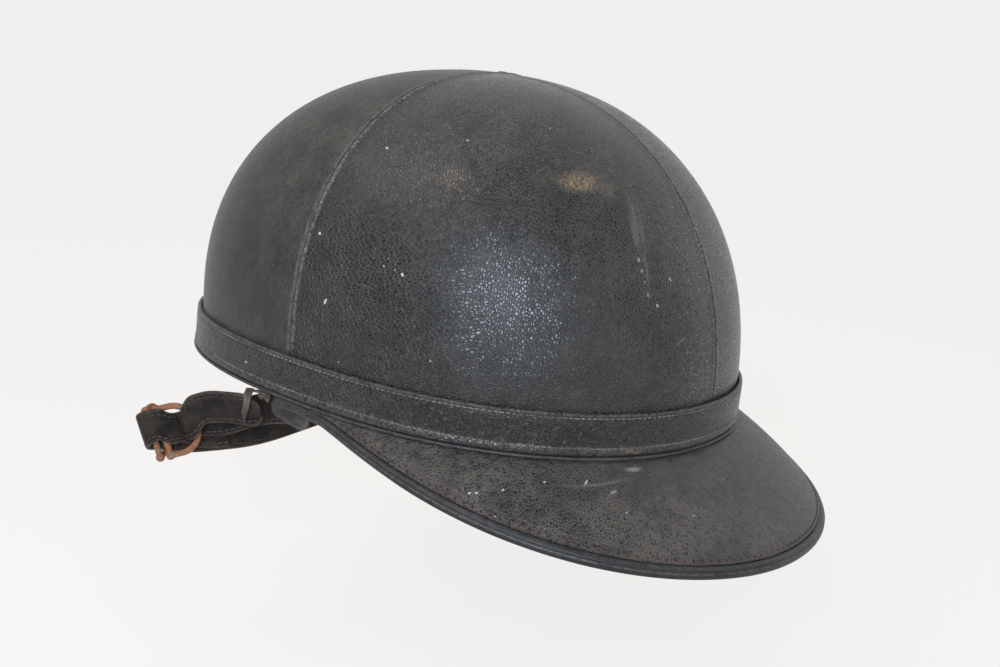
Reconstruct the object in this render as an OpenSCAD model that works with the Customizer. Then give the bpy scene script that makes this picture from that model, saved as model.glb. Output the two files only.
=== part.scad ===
// Leathercloth-covered safety cap with a stiff peak, a cork lining and a buckled leather chin strap.
// The rim lies level at z = 0, +Z is up, the brow faces -Y and the wearer's left is at +X.
// The origin is the middle of the head opening, in the plane of the rim.

/* [Crown] */
// Width of the crown from ear to ear
crown_w = 215; // [205:1:225]
// Length of the crown from brow to nape
crown_l = 261; // [250:1:275]
// Height of the crown above the rim
crown_h = 141; // [132:1:152]
// Height of the upright wall below the dome
wall_h = 20; // [14:1:24]
// How far the widest section lies ahead of the middle
widest_ahead = 8.6; // [4:0.2:12]
// How far the apex lies behind the widest section
apex_back = 6.8; // [2:0.2:12]
// Fullness of the outline at the brow
brow_full = 2.1; // [2:0.05:2.3]
// Fullness of the outline at the nape
nape_full = 2.6; // [2.2:0.05:2.8]
// Fullness of the dome seen from the side
dome_full = 2.23; // [2.1:0.01:2.4]
// Angle from the brow to each side seam
side_seam_a = 95.8; // [90:0.2:100]

/* [Layers] */
// Thickness of the leathercloth cover
cloth_t = 1; // [0.8:0.1:1.4]
// Thickness of the moulded shell
shell_t = 3; // [2.5:0.1:4]
// Thickness of the cork staves
cork_t = 12; // [9:0.5:13]
// Thickness of the felt band behind the sweatband
felt_t = 7; // [4:0.5:9]
// Thickness of the sweatband leather
sweat_t = 1.6; // [1.2:0.1:2.4]
// Clearance between layers that lie on each other
fit = 0.3; // [0.2:0.05:0.4]
// How far the cover stands up beside a seam
seam_lift = 0.5; // [0:0.1:0.8]

/* [Rim] */
// Height of the hat band
band_h = 17.5; // [14:0.5:22]
// Thickness of the folded hat band
band_t = 2.4; // [1.6:0.1:3]
// Thickness of the binding under the rim
bind_t = 1.4; // [1:0.1:2]
// Height of the binding inside the shell
bind_h = 2.4; // [1.4:0.2:2.6]
// Height of the sweatband above the rim
sweat_top = 36; // [30:1:42]
// How far the sweatband hangs below the rim
sweat_drop = 7; // [2:0.5:8]

/* [Peak] */
// Length of the peak from its root to its front edge
peak_l = 59.8; // [50:0.2:66]
// Angle from the brow at which the peak ends on each side
peak_end_a = 100; // [92:0.5:104]
// How fast the peak narrows towards its ends
peak_taper = 1.44; // [1.2:0.02:1.8]
// Downward slope at the front
droop_front = 34; // [26:0.5:42]
// Downward slope at the ends
droop_side = 50; // [42:0.5:60]
// Thickness of the stiff board
board_t = 1.6; // [1.2:0.1:2.4]
// How far the peak bows up between root and edge
peak_bow = 2.2; // [0:0.1:4]
// Width of the rolled edge
roll_w = 5.2; // [4:0.1:6.5]
// Thickness of the rolled edge at the front
roll_t = 4.4; // [3.6:0.1:5]

/* [Chin strap] */
// Width of the strap leather
strap_w = 14.4; // [13:0.2:15]
// Thickness of the strap leather
strap_t = 2.4; // [1.8:0.1:2.4]
// Width of a side tab
tab_w = 23; // [18:0.5:24]
// Length of a side tab below its rivet
tab_l = 26; // [23:0.5:27]
// Thickness of a side tab
tab_t = 2.2; // [1.6:0.1:2.4]
// Diameter of the rivet shank
rivet_d = 4; // [3:0.1:5]
// Diameter of the wire of the rings
wire_d = 2.8; // [2.2:0.1:3]
// Height of a ring between wire centres
ring_h = 22; // [22:0.5:24]
// Depth of a ring from its bar to its bow, between wire centres
ring_l = 15; // [15:0.5:17]

/* [Cradle] */
// Number of webbing tapes
tapes = 6; // [4:1:8]
// Width of a tape
tape_w = 16; // [12:0.5:20]
// Thickness of a tape
tape_t = 1.2; // [0.8:0.1:1.6]
// Height of the top of the cradle above the sweatband
cradle_h = 66; // [56:1:72]
// Diameter of the drawn cord
cord_d = 2.6; // [2:0.1:3.4]

/* [Hidden] */

// Steps round the front and rear part of each half outline, and up the dome
front_n = 13;
rear_n = 11;
dome_n = 10;
ring_n = 2 * (front_n + rear_n);

// Offsets of each layer's faces from the outer face of the cover, inward negative
shell_out = -cloth_t - fit;
shell_in = shell_out - shell_t;
cork_out = shell_in - fit;
cork_in = cork_out - cork_t;
felt_out = cork_in - fit;
felt_in = felt_out - felt_t;
sweat_out = felt_in - fit;
sweat_in = sweat_out - sweat_t;
band_out = fit + band_t;

// Underside of the binding
bind_z = -fit - bind_t;

// Crown size for which the strap, the buckle and the thong were laid out. Their points move with the crown
laid_w = 215;
laid_l = 261;
function laid(x, y, z) = [x * crown_w / laid_w, y * crown_l / laid_l, z];

// Chin strap pivot, behind the widest section
pivot_y = laid(0, 18, 0)[1];
pivot_z = 9;
pocket_a = 24;
cork_low_z = bind_h + 1;
cork_pocket_z = 24;
rivet_head_r = 4.6;
rivet_head_t = 1;

function sgn(v) = v < 0 ? -1 : 1;
function unit(v) = v / norm(v);
function mix(a, b, u) = a + (b - a) * u;

// Points on the layer at a given offset: a is the angle from the brow, positive to the wearer's left
function full_at(a) = cos(a) > 0 ? brow_full : nape_full;
function half_l(a) = crown_l / 2 + (cos(a) > 0 ? -widest_ahead : widest_ahead);
function plan_x(a, off) = (crown_w / 2 + off) * sgn(sin(a)) * pow(abs(sin(a)), 2 / full_at(a));
function plan_y(a, off) = -(half_l(a) + off) * sgn(cos(a)) * pow(abs(cos(a)), 2 / full_at(a));
function rise_at(z, off) = max(0, (z - wall_h) / (crown_h - wall_h + off));
function shrink(k) = pow(max(0, 1 - pow(k, dome_full)), 1 / dome_full);
function layer_pt(a, off, z) =
    let (k = rise_at(z, off), s = shrink(k))
    [plan_x(a, off) * s, plan_y(a, off) * s - widest_ahead + apex_back * k, z];
// The same point on the straight run between the top of the wall and the first ring of the dome
function wall_pt(a, off, z) =
    let (u = (z - wall_h) / (dome_z(1, off) - wall_h))
    u <= 0 ? layer_pt(a, off, z) : mix(layer_pt(a, off, wall_h), layer_pt(a, off, dome_z(1, off)), u);
function dome_z(j, off) = wall_h + (crown_h - wall_h + off) * pow(sin(90 * j / dome_n), 2 / dome_full);
function apex_pt(off) = [0, apex_back - widest_ahead, crown_h + off];

// Angles of the grid that all layers share, with grid lines on the four seams
function half_grid(i) =
    i <= front_n ? side_seam_a * i / front_n : side_seam_a + (180 - side_seam_a) * (i - front_n) / rear_n;
function grid_a(i) = i <= ring_n / 2 ? half_grid(i) : 360 - half_grid(ring_n - i);

// Heights of the rings of a dome layer, from its lower edge up to just below the apex
function ring_zs(z0, off) = concat(z0 < wall_h ? [z0] : [], [for (j = [0:dome_n - 1]) dome_z(j, off)]);

// A closed solid through rows of points: the sections join in order, with flat ends or in a ring.
// A section has an even number of corners, and its two long sides face each other across the solid
module loft(secs, ring = false) {
    n = len(secs[0]);
    m = len(secs);
    sides = [
        for (i = [0:m - (ring ? 1 : 2)], j = [0:n - 1])
            let (k = (i + 1) % m, l = (j + 1) % n)
            each [[i * n + j, i * n + l, k * n + l], [i * n + j, k * n + l, k * n + j]]
    ];
    last = (m - 1) * n;
    ends = ring ? [] : [
        for (j = [0:n / 2 - 2])
            let (k = n - 1 - j)
            each [
                [j, k - 1, j + 1], [j, k, k - 1],
                [last + j, last + j + 1, last + k - 1], [last + j, last + k - 1, last + k]
            ]
    ];
    polyhedron([for (s = secs) each s], concat(sides, ends));
}

// A dome layer between an outer and an inner skin of rings, each closed by its apex point
module dome_layer(outer, inner, tip_out, tip_in, closed) {
    n = len(outer[0]);
    m = len(outer);
    base = m * n + 1;
    last = n - (closed ? 1 : 2);
    skin = [
        for (i = [0:last])
            let (j = (i + 1) % n)
            each concat(
                [for (r = [0:m - 2]) each [
                    [r * n + i, (r + 1) * n + i, (r + 1) * n + j],
                    [r * n + i, (r + 1) * n + j, r * n + j],
                    [base + r * n + i, base + (r + 1) * n + j, base + (r + 1) * n + i],
                    [base + r * n + i, base + r * n + j, base + (r + 1) * n + j]
                ]],
                [
                    [(m - 1) * n + i, m * n, (m - 1) * n + j],
                    [base + (m - 1) * n + i, base + (m - 1) * n + j, base + m * n],
                    [i, j, base + j],
                    [i, base + j, base + i]
                ]
            )
    ];
    walls = closed ? [] : [
        for (r = [0:m - 1])
            let (a = r * n, b = r < m - 1 ? a + n : m * n, c = a + n - 1, d = r < m - 1 ? c + n : m * n)
            each [
                [a, base + a, base + b], [a, base + b, b],
                [c, d, base + d], [c, base + d, base + c]
            ]
    ];
    polyhedron(
        concat([for (r = outer) each r], [tip_out], [for (r = inner) each r], [tip_in]),
        concat(skin, walls)
    );
}

// A strip that runs round the rim: its section is a list of [offset, z] corners
module rim_strip(section) {
    loft([for (i = [ring_n - 1:-1:0]) [for (c = section) wall_pt(grid_a(i), c[0], c[1])]], ring = true);
}

// Smooth run through points that were placed by hand
function smooth(p, k) = [
    for (i = [0:len(p) - 2], j = [0:k - 1])
        let (a = p[max(i - 1, 0)], b = p[i], c = p[i + 1], d = p[min(i + 2, len(p) - 1)], u = j / k)
        (2 * b + (c - a) * u + (2 * a - 5 * b + 4 * c - d) * u * u + (3 * b - a - 3 * c + d) * u * u * u) / 2,
    p[len(p) - 1]
];
function heading(p, i) = unit(p[min(i + 1, len(p) - 1)] - p[max(i - 1, 0)]);

// A flat strap of width w and thickness t. Each row of the path holds a point, the direction of the
// strap's crosswise line and the share of the full width that it has there
module strap_along(p, w, t, edge = 0.6) {
    loft([
        for (i = [0:len(p) - 1])
            let (
                f = unit(row_pt(p[min(i + 1, len(p) - 1)]) - row_pt(p[max(i - 1, 0)])),
                u = unit([p[i][3], p[i][4], p[i][5]]),
                c = cross(f, u),
                s = unit(c),
                a = w * p[i][6] / norm(c) / 2,
                b = t / 2
            )
            [for (c = [
                [b, a - edge], [b - edge, a], [edge - b, a], [-b, a - edge],
                [-b, edge - a], [edge - b, -a], [b - edge, -a], [b, edge - a]
            ]) row_pt(p[i]) + s * c[0] + u * c[1]]
    ]);
}
function row_pt(r) = [r[0], r[1], r[2]];
function row(p, up, share = 1) = [p[0], p[1], p[2], up[0], up[1], up[2], share];

// Hard shell

module shell() {
    color([0.25, 0.22, 0.19])
    difference() {
        dome_layer(
            [for (z = ring_zs(0, shell_out)) [for (i = [0:ring_n - 1]) layer_pt(grid_a(i), shell_out, z)]],
            [for (z = ring_zs(0, shell_in)) [for (i = [0:ring_n - 1]) layer_pt(grid_a(i), shell_in, z)]],
            apex_pt(shell_out), apex_pt(shell_in), true
        );
        for (side = [-1, 1]) {
            at_pivot(side, shell_seat - shell_t - 2) cylinder(h = shell_t + 6, d = rivet_d + 2 * fit, $fn = 32);
            at_pivot(side, rivet_sink) cylinder(h = 4, r = rivet_head_r + fit, $fn = 40);
        }
    }
}

// Cover panels: the edges beside a seam stand up a little, and each panel is pushed off its seams

function seam_rise(i, i0, i1) = i == i0 || i == i1 ? seam_lift : 0;

band_line = min(band_h + fit, wall_h - 1);
module cover_panel(i0, i1, push) {
    color([0.16, 0.16, 0.17])
    dome_layer(
        [for (z = concat([0, band_line], ring_zs(wall_h, 0))) [for (i = [i0:i1])
            layer_pt(grid_a(i), z < wall_h ? 0 : seam_rise(i, i0, i1), z) + push]],
        [for (z = concat([0, band_line], ring_zs(wall_h, -cloth_t))) [for (i = [i0:i1])
            layer_pt(grid_a(i), -cloth_t, z) + push]],
        apex_pt(seam_lift) + push, apex_pt(-cloth_t) + push, false
    );
}

seam_half = fit * 0.6;
module cover_front_left() { cover_panel(0, front_n, [seam_half, -seam_half, 0]); }
module cover_rear_left() { cover_panel(front_n, ring_n / 2, [seam_half, seam_half, 0]); }
module cover_rear_right() { cover_panel(ring_n / 2, ring_n - front_n, [-seam_half, seam_half, 0]); }
module cover_front_right() { cover_panel(ring_n - front_n, ring_n, [-seam_half, -seam_half, 0]); }

// Hat band and binding

band_foot = 2 * fit;
module hat_band() {
    color([0.15, 0.15, 0.16])
    rim_strip([
        [band_foot, 0], [band_foot, band_h], [band_out - 0.7, band_h], [band_out, band_h - 1.2],
        [band_out + 0.3, band_h / 2], [band_out, 1], [band_out - 0.6, 0]
    ]);
}

module rim_binding() {
    color([0.13, 0.12, 0.12])
    rim_strip([
        [shell_in - fit - bind_t, bind_z + 0.5], [shell_in - fit - bind_t, bind_h], [shell_in - fit, bind_h],
        [shell_in - fit, -fit], [band_out, -fit], [band_out + 0.4, -fit - bind_t / 2],
        [band_out - 0.3, bind_z], [shell_in - fit - bind_t + 0.5, bind_z]
    ]);
}

// Peak

peak_ply = fit / 2;
peak_half_t = board_t / 2 + peak_ply + cloth_t;
peak_root_off = band_out - 1.4;
peak_root_z = bind_z - fit - peak_half_t;
peak_n = 34;
board_end = 0.84;
roll_end = 0.97;
peak_tuck = 4;

function peak_reach(a) = peak_l * pow(cos(90 * abs(a) / peak_end_a), peak_taper);
function peak_slope(a) = mix(droop_front, droop_side, pow(abs(a) / peak_end_a, 2));
function outward(a) =
    let (t = layer_pt(a + 0.5, peak_root_off, 0) - layer_pt(a - 0.5, peak_root_off, 0))
    unit([t[1], -t[0], 0]);
// A point of the peak at angle a, w along the slope from the root and h above the middle of the board
function peak_pt(a, w, h) =
    let (n = outward(a), d = peak_slope(a), l = peak_reach(a), f = min(1, max(0, w / l)),
         b = peak_bow * 4 * f * (1 - f) * l / peak_l)
    layer_pt(a, peak_root_off, 0) + [0, 0, peak_root_z]
    + n * (w * cos(d) + (h + b) * sin(d)) + [0, 0, (h + b) * cos(d) - w * sin(d)];

// The peak is sewn on by a flange that lies flat under the rim. It bends down where the rim's edge is
function tuck_pt(a, h) = layer_pt(a, peak_root_off - peak_tuck, 0) + [0, 0, peak_root_z + h];
function bend_w(a, h) = -h * tan(peak_slope(a) / 2);
function sheet_pt(a, h, k) =
    k < 0 ? tuck_pt(a, h) : peak_pt(a, mix(bend_w(a, h), peak_reach(a) - roll_w - fit, k / 4), h);

module peak_sheet(h0, h1) {
    loft([
        for (i = [0:peak_n])
            let (a = mix(1, -1, i / peak_n) * board_end * peak_end_a)
            concat([for (k = [-1:4]) sheet_pt(a, h1, k)], [for (k = [4:-1:-1]) sheet_pt(a, h0, k)])
    ]);
}

module peak_board() {
    color([0.45, 0.38, 0.3]) peak_sheet(-board_t / 2, board_t / 2);
}
module peak_top_cover() {
    color([0.2, 0.2, 0.2]) peak_sheet(board_t / 2 + peak_ply, board_t / 2 + peak_ply + cloth_t);
}
module peak_under_cover() {
    color([0.14, 0.13, 0.13]) peak_sheet(-board_t / 2 - peak_ply - cloth_t, -board_t / 2 - peak_ply);
}

module peak_rolled_edge() {
    color([0.13, 0.13, 0.14])
    loft([
        for (i = [0:peak_n + 10])
            let (
                a = mix(1, -1, i / (peak_n + 10)) * roll_end * peak_end_a,
                l = peak_reach(a),
                f = min(1, l / (4 * roll_w)),
                rw = mix(peak_half_t, roll_w / 2, f),
                rt = mix(peak_half_t, roll_t / 2, f),
                w = max(l - roll_w / 2, 0)
            )
            [for (k = [0:7]) peak_pt(a, w - rw * cos(45 * k), rt * sin(45 * k))]
    ]);
}

// Lining: cork staves, a cork disc in the crown, a felt band and the sweatband

// Grid lines at which the staves meet; the side staves stop above the strap tabs
stave_i = [0, 5, 10, 16, 20, 24, 28, 32, 38, 43, 48];
side_staves = [2, 7];
stave_gap_a = 0.2;
stave_top_j = 5;

module cork_stave(i0, i1, low) {
    zs = low < wall_h ? [low, wall_h] : [low];
    up = len(zs) - 1;
    loft([
        for (i = [i0:i1])
            let (a = grid_a(i) + (i == i0 ? stave_gap_a : 0) - (i == i1 ? stave_gap_a : 0))
            concat(
                [for (z = zs) wall_pt(a, cork_out, z)],
                [for (j = [1:stave_top_j]) layer_pt(a, cork_out, dome_z(j, cork_out))],
                [for (j = [stave_top_j:-1:1]) layer_pt(a, cork_in, dome_z(j, cork_in))],
                [for (k = [up:-1:0]) wall_pt(a, cork_in, zs[k])]
            )
    ]);
}

module cork_staves() {
    color([0.55, 0.4, 0.26])
    for (s = [0:len(stave_i) - 2])
        cork_stave(stave_i[s], stave_i[s + 1], len(search(s, side_staves)) > 0 ? cork_pocket_z : cork_low_z);
}

crown_cork_j = stave_top_j + 1;
module crown_cork() {
    color([0.58, 0.43, 0.28])
    dome_layer(
        [for (j = [crown_cork_j:dome_n - 1]) [for (i = [0:ring_n - 1])
            layer_pt(grid_a(i), cork_out, dome_z(j, cork_out))]],
        [for (j = [crown_cork_j:dome_n - 1]) [for (i = [0:ring_n - 1])
            layer_pt(grid_a(i), cork_in, dome_z(j, cork_in))]],
        apex_pt(cork_out), apex_pt(cork_in), true
    );
}

module felt_band() {
    color([0.4, 0.38, 0.34])
    rim_strip([
        [felt_in, 0], [felt_in, sweat_top - 4], [felt_in + 2, sweat_top - 2], [felt_out - 2, sweat_top - 2],
        [felt_out, sweat_top - 4], [felt_out, 0], [felt_out - 2, -2], [felt_in + 2, -2]
    ]);
}

module sweatband() {
    color([0.3, 0.2, 0.13])
    rim_strip([
        [sweat_in, -sweat_drop + 0.4], [sweat_in, sweat_top - 0.4], [sweat_in + sweat_t / 2, sweat_top],
        [sweat_out, sweat_top - 0.4], [sweat_out, -sweat_drop + 0.4], [sweat_in + sweat_t / 2, -sweat_drop]
    ]);
}

// Cradle: tapes rise from the sweatband to a drawn cord, and each end is folded round the cord

tape_sag = 1.4;
gathered = 0.45;
cradle_off = sweat_in - fit - tape_t / 2 - tape_sag;
tape_foot_z = sweat_top - 14;
cord_rim = 0.3;
fold_r = cord_d / 2 + 2 * fit + tape_t / 2;
function cradle_pt(a, s, z) =
    let (p = layer_pt(a, cradle_off, sweat_top))
    [p[0] * s, (p[1] + widest_ahead - apex_back * 0.3) * s - widest_ahead + apex_back * 0.3, z];
function cord_pt(a) = cradle_pt(a, cord_rim, sweat_top + cradle_h);
function cord_outward(a) = let (t = cord_pt(a + 1) - cord_pt(a - 1)) unit([t[1], -t[0], 0]);
function cradle_arc(a, u) =
    let (e = 90 * u, top = acos(cord_rim))
    cradle_pt(a, cos(e * top / 90), sweat_top + (cradle_h - fold_r) * sin(e * top / 90) / sin(top));

module cradle_tapes() {
    color([0.5, 0.47, 0.4])
    for (k = [0:tapes - 1]) {
        a = 360 * (k + 0.5) / tapes;
        c = cord_pt(a);
        r = cord_outward(a);
        across = [-r[1], r[0], 0];
        foot = wall_pt(a + 1, cradle_off, tape_foot_z) - wall_pt(a - 1, cradle_off, tape_foot_z);
        along_rim = unit(foot) * sgn(foot * across);
        path = concat(
            [wall_pt(a, cradle_off, tape_foot_z), wall_pt(a, cradle_off, sweat_top - 4)],
            [for (j = [1:8]) cradle_arc(a, j / 9)],
            [for (j = [0:6]) c - r * fold_r * sin(40 * j) - [0, 0, fold_r * cos(40 * j)]]
        );
        loft([
            for (i = [0:len(path) - 1])
                let (
                    q = unit(mix(along_rim, across, min(1, i / 8))),
                    n = unit(cross(q, heading(path, i))) * tape_t / 2,
                    e = q * tape_w / 2 * mix(1, gathered, min(1, max(0, (i - 4) / 5)))
                )
                [path[i] + e + n, path[i] - e + n, path[i] - e - n, path[i] + e - n]
        ]);
    }
}

module cradle_cord() {
    color([0.6, 0.56, 0.48])
    loft([
        for (i = [0:47])
            let (a = 360 * i / 48, c = cord_pt(a), r = cord_outward(a))
            [for (k = [0:7]) c + (r * cos(45 * k) + [0, 0, sin(45 * k)]) * cord_d / 2]
    ], ring = true);
}

// Chin strap fixings: a rivet through the shell on each side, a leather spacer and a tab that turns on it

spacer_r = rivet_head_r + 1.4;
// Half width of the crown at a given y behind the widest section
function half_w(y) = layer_pt(acos(-pow((y + widest_ahead) / half_l(180), nape_full / 2)), 0, pivot_z)[0];
shell_seat = half_w(pivot_y + spacer_r) + shell_in;
rivet_sink = half_w(pivot_y + rivet_head_r) + shell_out - rivet_head_t - fit;
tab_face = shell_seat - 3.2;
spacer_t = shell_seat - tab_face - 2 * fit;
tab_lean = 81;

// Places a shape that points along +Z on the pivot of one side, x out from the middle plane
module at_pivot(side, x) {
    translate([side * x, pivot_y, pivot_z]) rotate([0, side * 90, 0]) children();
}

module strap_rivets() {
    color([0.55, 0.5, 0.42])
    for (side = [-1, 1]) {
        at_pivot(side, tab_face - tab_t - fit - 1)
            cylinder(h = rivet_sink - tab_face + tab_t + fit + 1 + rivet_head_t / 2, d = rivet_d, $fn = 32);
        at_pivot(side, rivet_sink) cylinder(h = rivet_head_t, r = rivet_head_r, $fn = 40);
        at_pivot(side, tab_face - tab_t - fit - 1) cylinder(h = 1, r = rivet_head_r, $fn = 40);
    }
}

module rivet_spacers() {
    color([0.28, 0.2, 0.14])
    for (side = [-1, 1])
        at_pivot(side, tab_face + fit) difference() {
            cylinder(h = spacer_t, r = spacer_r, $fn = 40);
            translate([0, 0, -1]) cylinder(h = spacer_t + 2, d = rivet_d + 2 * fit, $fn = 32);
        }
}

module rounded_plate(l0, l1, w, r) {
    translate([-l0 + r, -w / 2]) square([l0 + l1 - 2 * r, w]);
    translate([-l0, -w / 2 + r]) square([l0 + l1, w - 2 * r]);
    for (x = [-l0 + r, l1 - r], y = [r - w / 2, w / 2 - r]) translate([x, y]) circle(r = r, $fn = 32);
}

module strap_tab(side) {
    color([0.15, 0.14, 0.13])
    translate([side * tab_face, pivot_y, pivot_z]) rotate([-tab_lean, 0, 0])
        rotate([90, 0, 90]) translate([0, 0, side > 0 ? -tab_t : 0])
            linear_extrude(tab_t) difference() {
                rounded_plate(tab_w / 2 - 2, tab_l, tab_w, 5);
                circle(d = rivet_d + 2 * fit, $fn = 32);
            }
}
module strap_tab_right() { strap_tab(-1); }
module strap_tab_left() { strap_tab(1); }

// Buckle: two wire rings whose bars lie in the fold of the ring strap.
// Its own frame: d runs from the outer ring's bar to its bow, e points away from the cap

buckle_o = laid(-129, 67, -27.6);
buckle_a = -52;
buckle_tilt = 20;
axis_d = [cos(buckle_tilt) * cos(buckle_a), cos(buckle_tilt) * sin(buckle_a), sin(buckle_tilt)];
axis_e = [sin(buckle_a), -cos(buckle_a), 0];
axis_w = cross(axis_e, axis_d);
function buckle_pt(d, e, w) = buckle_o + d * axis_d + e * axis_e + w * axis_w;
function buckle_row(d, e, w, share = 1) = row(buckle_pt(d, e, w), axis_w, share);
inner_bar_d = -5;
inner_bar_e = -1;
inner_ring_a = 85;
bow_r = 9.5;
knob_d = wire_d + 1.2;

module in_buckle(d, e) {
    translate(buckle_pt(d, e, 0)) rotate([0, 0, buckle_a]) rotate([0, -buckle_tilt, 0]) children();
}

module wire_ring(col) {
    color(col) {
        translate([0, 0, -ring_h / 2]) cylinder(h = ring_h, d = wire_d, $fn = 20);
        translate([ring_l, 0, bow_r - ring_h / 2])
            cylinder(h = ring_h - 2 * bow_r, d = wire_d, $fn = 20);
        for (m = [0, 1]) mirror([0, 0, m]) {
            translate([0, 0, ring_h / 2]) sphere(d = knob_d, $fn = 20);
            translate([0, 0, ring_h / 2]) rotate([0, 90, 0])
                cylinder(h = ring_l - bow_r, d = wire_d, $fn = 20);
            translate([ring_l - bow_r, 0, ring_h / 2 - bow_r]) rotate([90, 0, 0])
                rotate_extrude(angle = 90, $fn = 48) translate([bow_r, 0]) circle(d = wire_d, $fn = 20);
        }
    }
}

module ring_outer() {
    in_buckle(0, 0) wire_ring([0.62, 0.36, 0.18]);
}
module ring_inner() {
    in_buckle(inner_bar_d, inner_bar_e) rotate([0, 0, inner_ring_a]) wire_ring([0.5, 0.3, 0.17]);
}

// The ring strap runs from the left tab under the opening, folds round both bars and ends on itself
strap_seat = tab_face - tab_t - fit - strap_t / 2;
upright = [0, 0, 1];
function on_tab(side, y, z) = [side * strap_seat, laid(0, y, 0)[1], z];
ring_strap_path = [
    row(on_tab(1, 13, -10.5), upright), row(on_tab(1, 24, -12), upright),
    row(laid(94, 34, -14), upright), row(laid(83, 40.5, -15.5), upright), row(laid(62, 43, -17), upright),
    row(laid(32, 43, -19.5), upright), row(laid(0, 43.5, -21.5), upright), row(laid(-30, 45, -24), upright),
    row(laid(-60, 46.5, -26.5), upright), row(laid(-80, 48.5, -28.5), upright + 0.5 * axis_w),
    row(laid(-92, 51, -29.8), upright + axis_w),
    buckle_row(24, -12.6, -10.8), buckle_row(16, -10.4, -9.2), buckle_row(8, -7.6, -6.6),
    buckle_row(1, -5.2, -3.2), buckle_row(-3.5, -4.3, -1.1), buckle_row(-7.6, -3.1, 0.6),
    buckle_row(-8.7, -0.4, 2.2), buckle_row(-6.8, 2.4, 4), buckle_row(-2, 3.7, 5.4),
    buckle_row(1.6, 3.3, 3.8, 0.98), buckle_row(4.2, 1.9, 1.8, 0.94), buckle_row(6.3, -0.6, 0.4, 0.93),
    buckle_row(8.6, -3.8, -1.2, 0.97), buckle_row(12.4, -6.1, -4.2), buckle_row(18, -8, -7.2),
    buckle_row(24, -9.8, -8.8)
];
module ring_strap() {
    color([0.12, 0.12, 0.13]) strap_along(smooth(ring_strap_path, 2), strap_w, strap_t);
}

// The tongue strap runs from the right tab through the outer ring and folds back over its bow
tongue_strap_path = [
    row(on_tab(-1, 13, -9), upright), row(on_tab(-1, 23, -10.5), upright),
    row(on_tab(-1, 33, -12.6), upright), row(laid(-97, 39.6, -14.4), upright),
    row(laid(-101.4, 43.6, -16.6), upright + 0.5 * axis_w),
    buckle_row(29, -3, -1.9), buckle_row(22, -3.3, -1), buckle_row(16.5, -3.6, 0, 0.95),
    buckle_row(12.4, -3.2, 0.5, 0.86), buckle_row(10.1, -1.5, 0.7, 0.82), buckle_row(9.4, 0, 0.8, 0.82),
    buckle_row(10, 1.7, 1, 0.83), buckle_row(12.4, 3.5, 2.4, 0.9), buckle_row(16.5, 4, 5.6),
    buckle_row(21, 3.6, 7.6), buckle_row(28, 3.9, 6.4), buckle_row(35, 4.6, 4.2),
    buckle_row(41, 5.4, 2), buckle_row(46, 6.2, 0.4)
];
module tongue_strap() {
    color([0.13, 0.13, 0.14]) strap_along(smooth(tongue_strap_path, 2), strap_w, strap_t);
}

// Leather thong tied at the rim: a knot, a short end and a hanging end
thong_w = 4;
thong_t = 1.2;
thong_edge = 0.3;
along_side = [1, -1.2, 0];
function under_rim(x, y, z) = laid(x, y, bind_z + z);
hanging_end_path = [
    row(under_rim(-109, 35.7, -1), along_side), row(under_rim(-110.7, 34.4, -1.3), along_side),
    row(under_rim(-112.5, 33.2, -2.3), along_side), row(under_rim(-113.4, 32.9, -5.3), along_side),
    row(under_rim(-113.6, 33, -8.7), along_side), row(under_rim(-113.6, 33.2, -12.7), along_side)
];
short_end_path = [
    row(under_rim(-107, 33, -1), [1, -1.2, 0.1]), row(under_rim(-105.8, 30.8, -1.8), [1, -0.9, 0.3], 0.85),
    row(under_rim(-105.4, 29, -3.1), [0.6, 0, 0.8], 0.9), row(under_rim(-105, 27, -4.1), [0.4, 0.1, 1])
];
module rim_thong() {
    color([0.35, 0.24, 0.19]) {
        strap_along(smooth(hanging_end_path, 2), thong_w, thong_t, thong_edge);
        strap_along(smooth(short_end_path, 2), thong_w, thong_t, thong_edge);
    }
}

shell();
cover_front_right();
cover_front_left();
cover_rear_left();
cover_rear_right();
hat_band();
rim_binding();
peak_board();
peak_top_cover();
peak_under_cover();
peak_rolled_edge();
cork_staves();
crown_cork();
felt_band();
sweatband();
cradle_tapes();
cradle_cord();
strap_rivets();
rivet_spacers();
rim_thong();
strap_tab_right();
strap_tab_left();
ring_strap();
tongue_strap();
ring_outer();
ring_inner();
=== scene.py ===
import math

import bpy
import numpy as np
from mathutils import Matrix, Vector
from mathutils.bvhtree import BVHTree


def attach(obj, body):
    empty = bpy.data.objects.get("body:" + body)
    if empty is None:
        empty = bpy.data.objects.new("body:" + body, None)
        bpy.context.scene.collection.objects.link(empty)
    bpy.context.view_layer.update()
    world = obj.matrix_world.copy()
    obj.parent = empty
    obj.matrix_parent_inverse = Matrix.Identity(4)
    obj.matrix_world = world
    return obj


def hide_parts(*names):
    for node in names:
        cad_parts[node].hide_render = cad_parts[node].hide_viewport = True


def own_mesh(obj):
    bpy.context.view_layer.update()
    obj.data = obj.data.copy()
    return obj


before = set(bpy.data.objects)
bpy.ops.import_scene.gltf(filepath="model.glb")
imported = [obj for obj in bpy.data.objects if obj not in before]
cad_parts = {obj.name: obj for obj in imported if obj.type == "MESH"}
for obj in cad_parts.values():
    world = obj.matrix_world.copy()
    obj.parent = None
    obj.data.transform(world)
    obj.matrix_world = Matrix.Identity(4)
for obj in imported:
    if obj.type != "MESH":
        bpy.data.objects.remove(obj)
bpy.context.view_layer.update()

# Sizes are in millimetres until a mesh is made. The rim is level at z = 0, the brow faces -Y and the
# wearer's left is at +X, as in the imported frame.
MM = 0.001
SMOOTH_UNDER = math.radians(50)

# Crown
CROWN_W, CROWN_L, CROWN_H, WALL_H = 215, 261, 141, 20
WIDEST_AHEAD, APEX_BACK = 8.6, 6.8
BROW_FULL, NAPE_FULL, DOME_FULL = 2.1, 2.6, 2.23
SIDE_SEAM_A = 95.8

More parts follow.
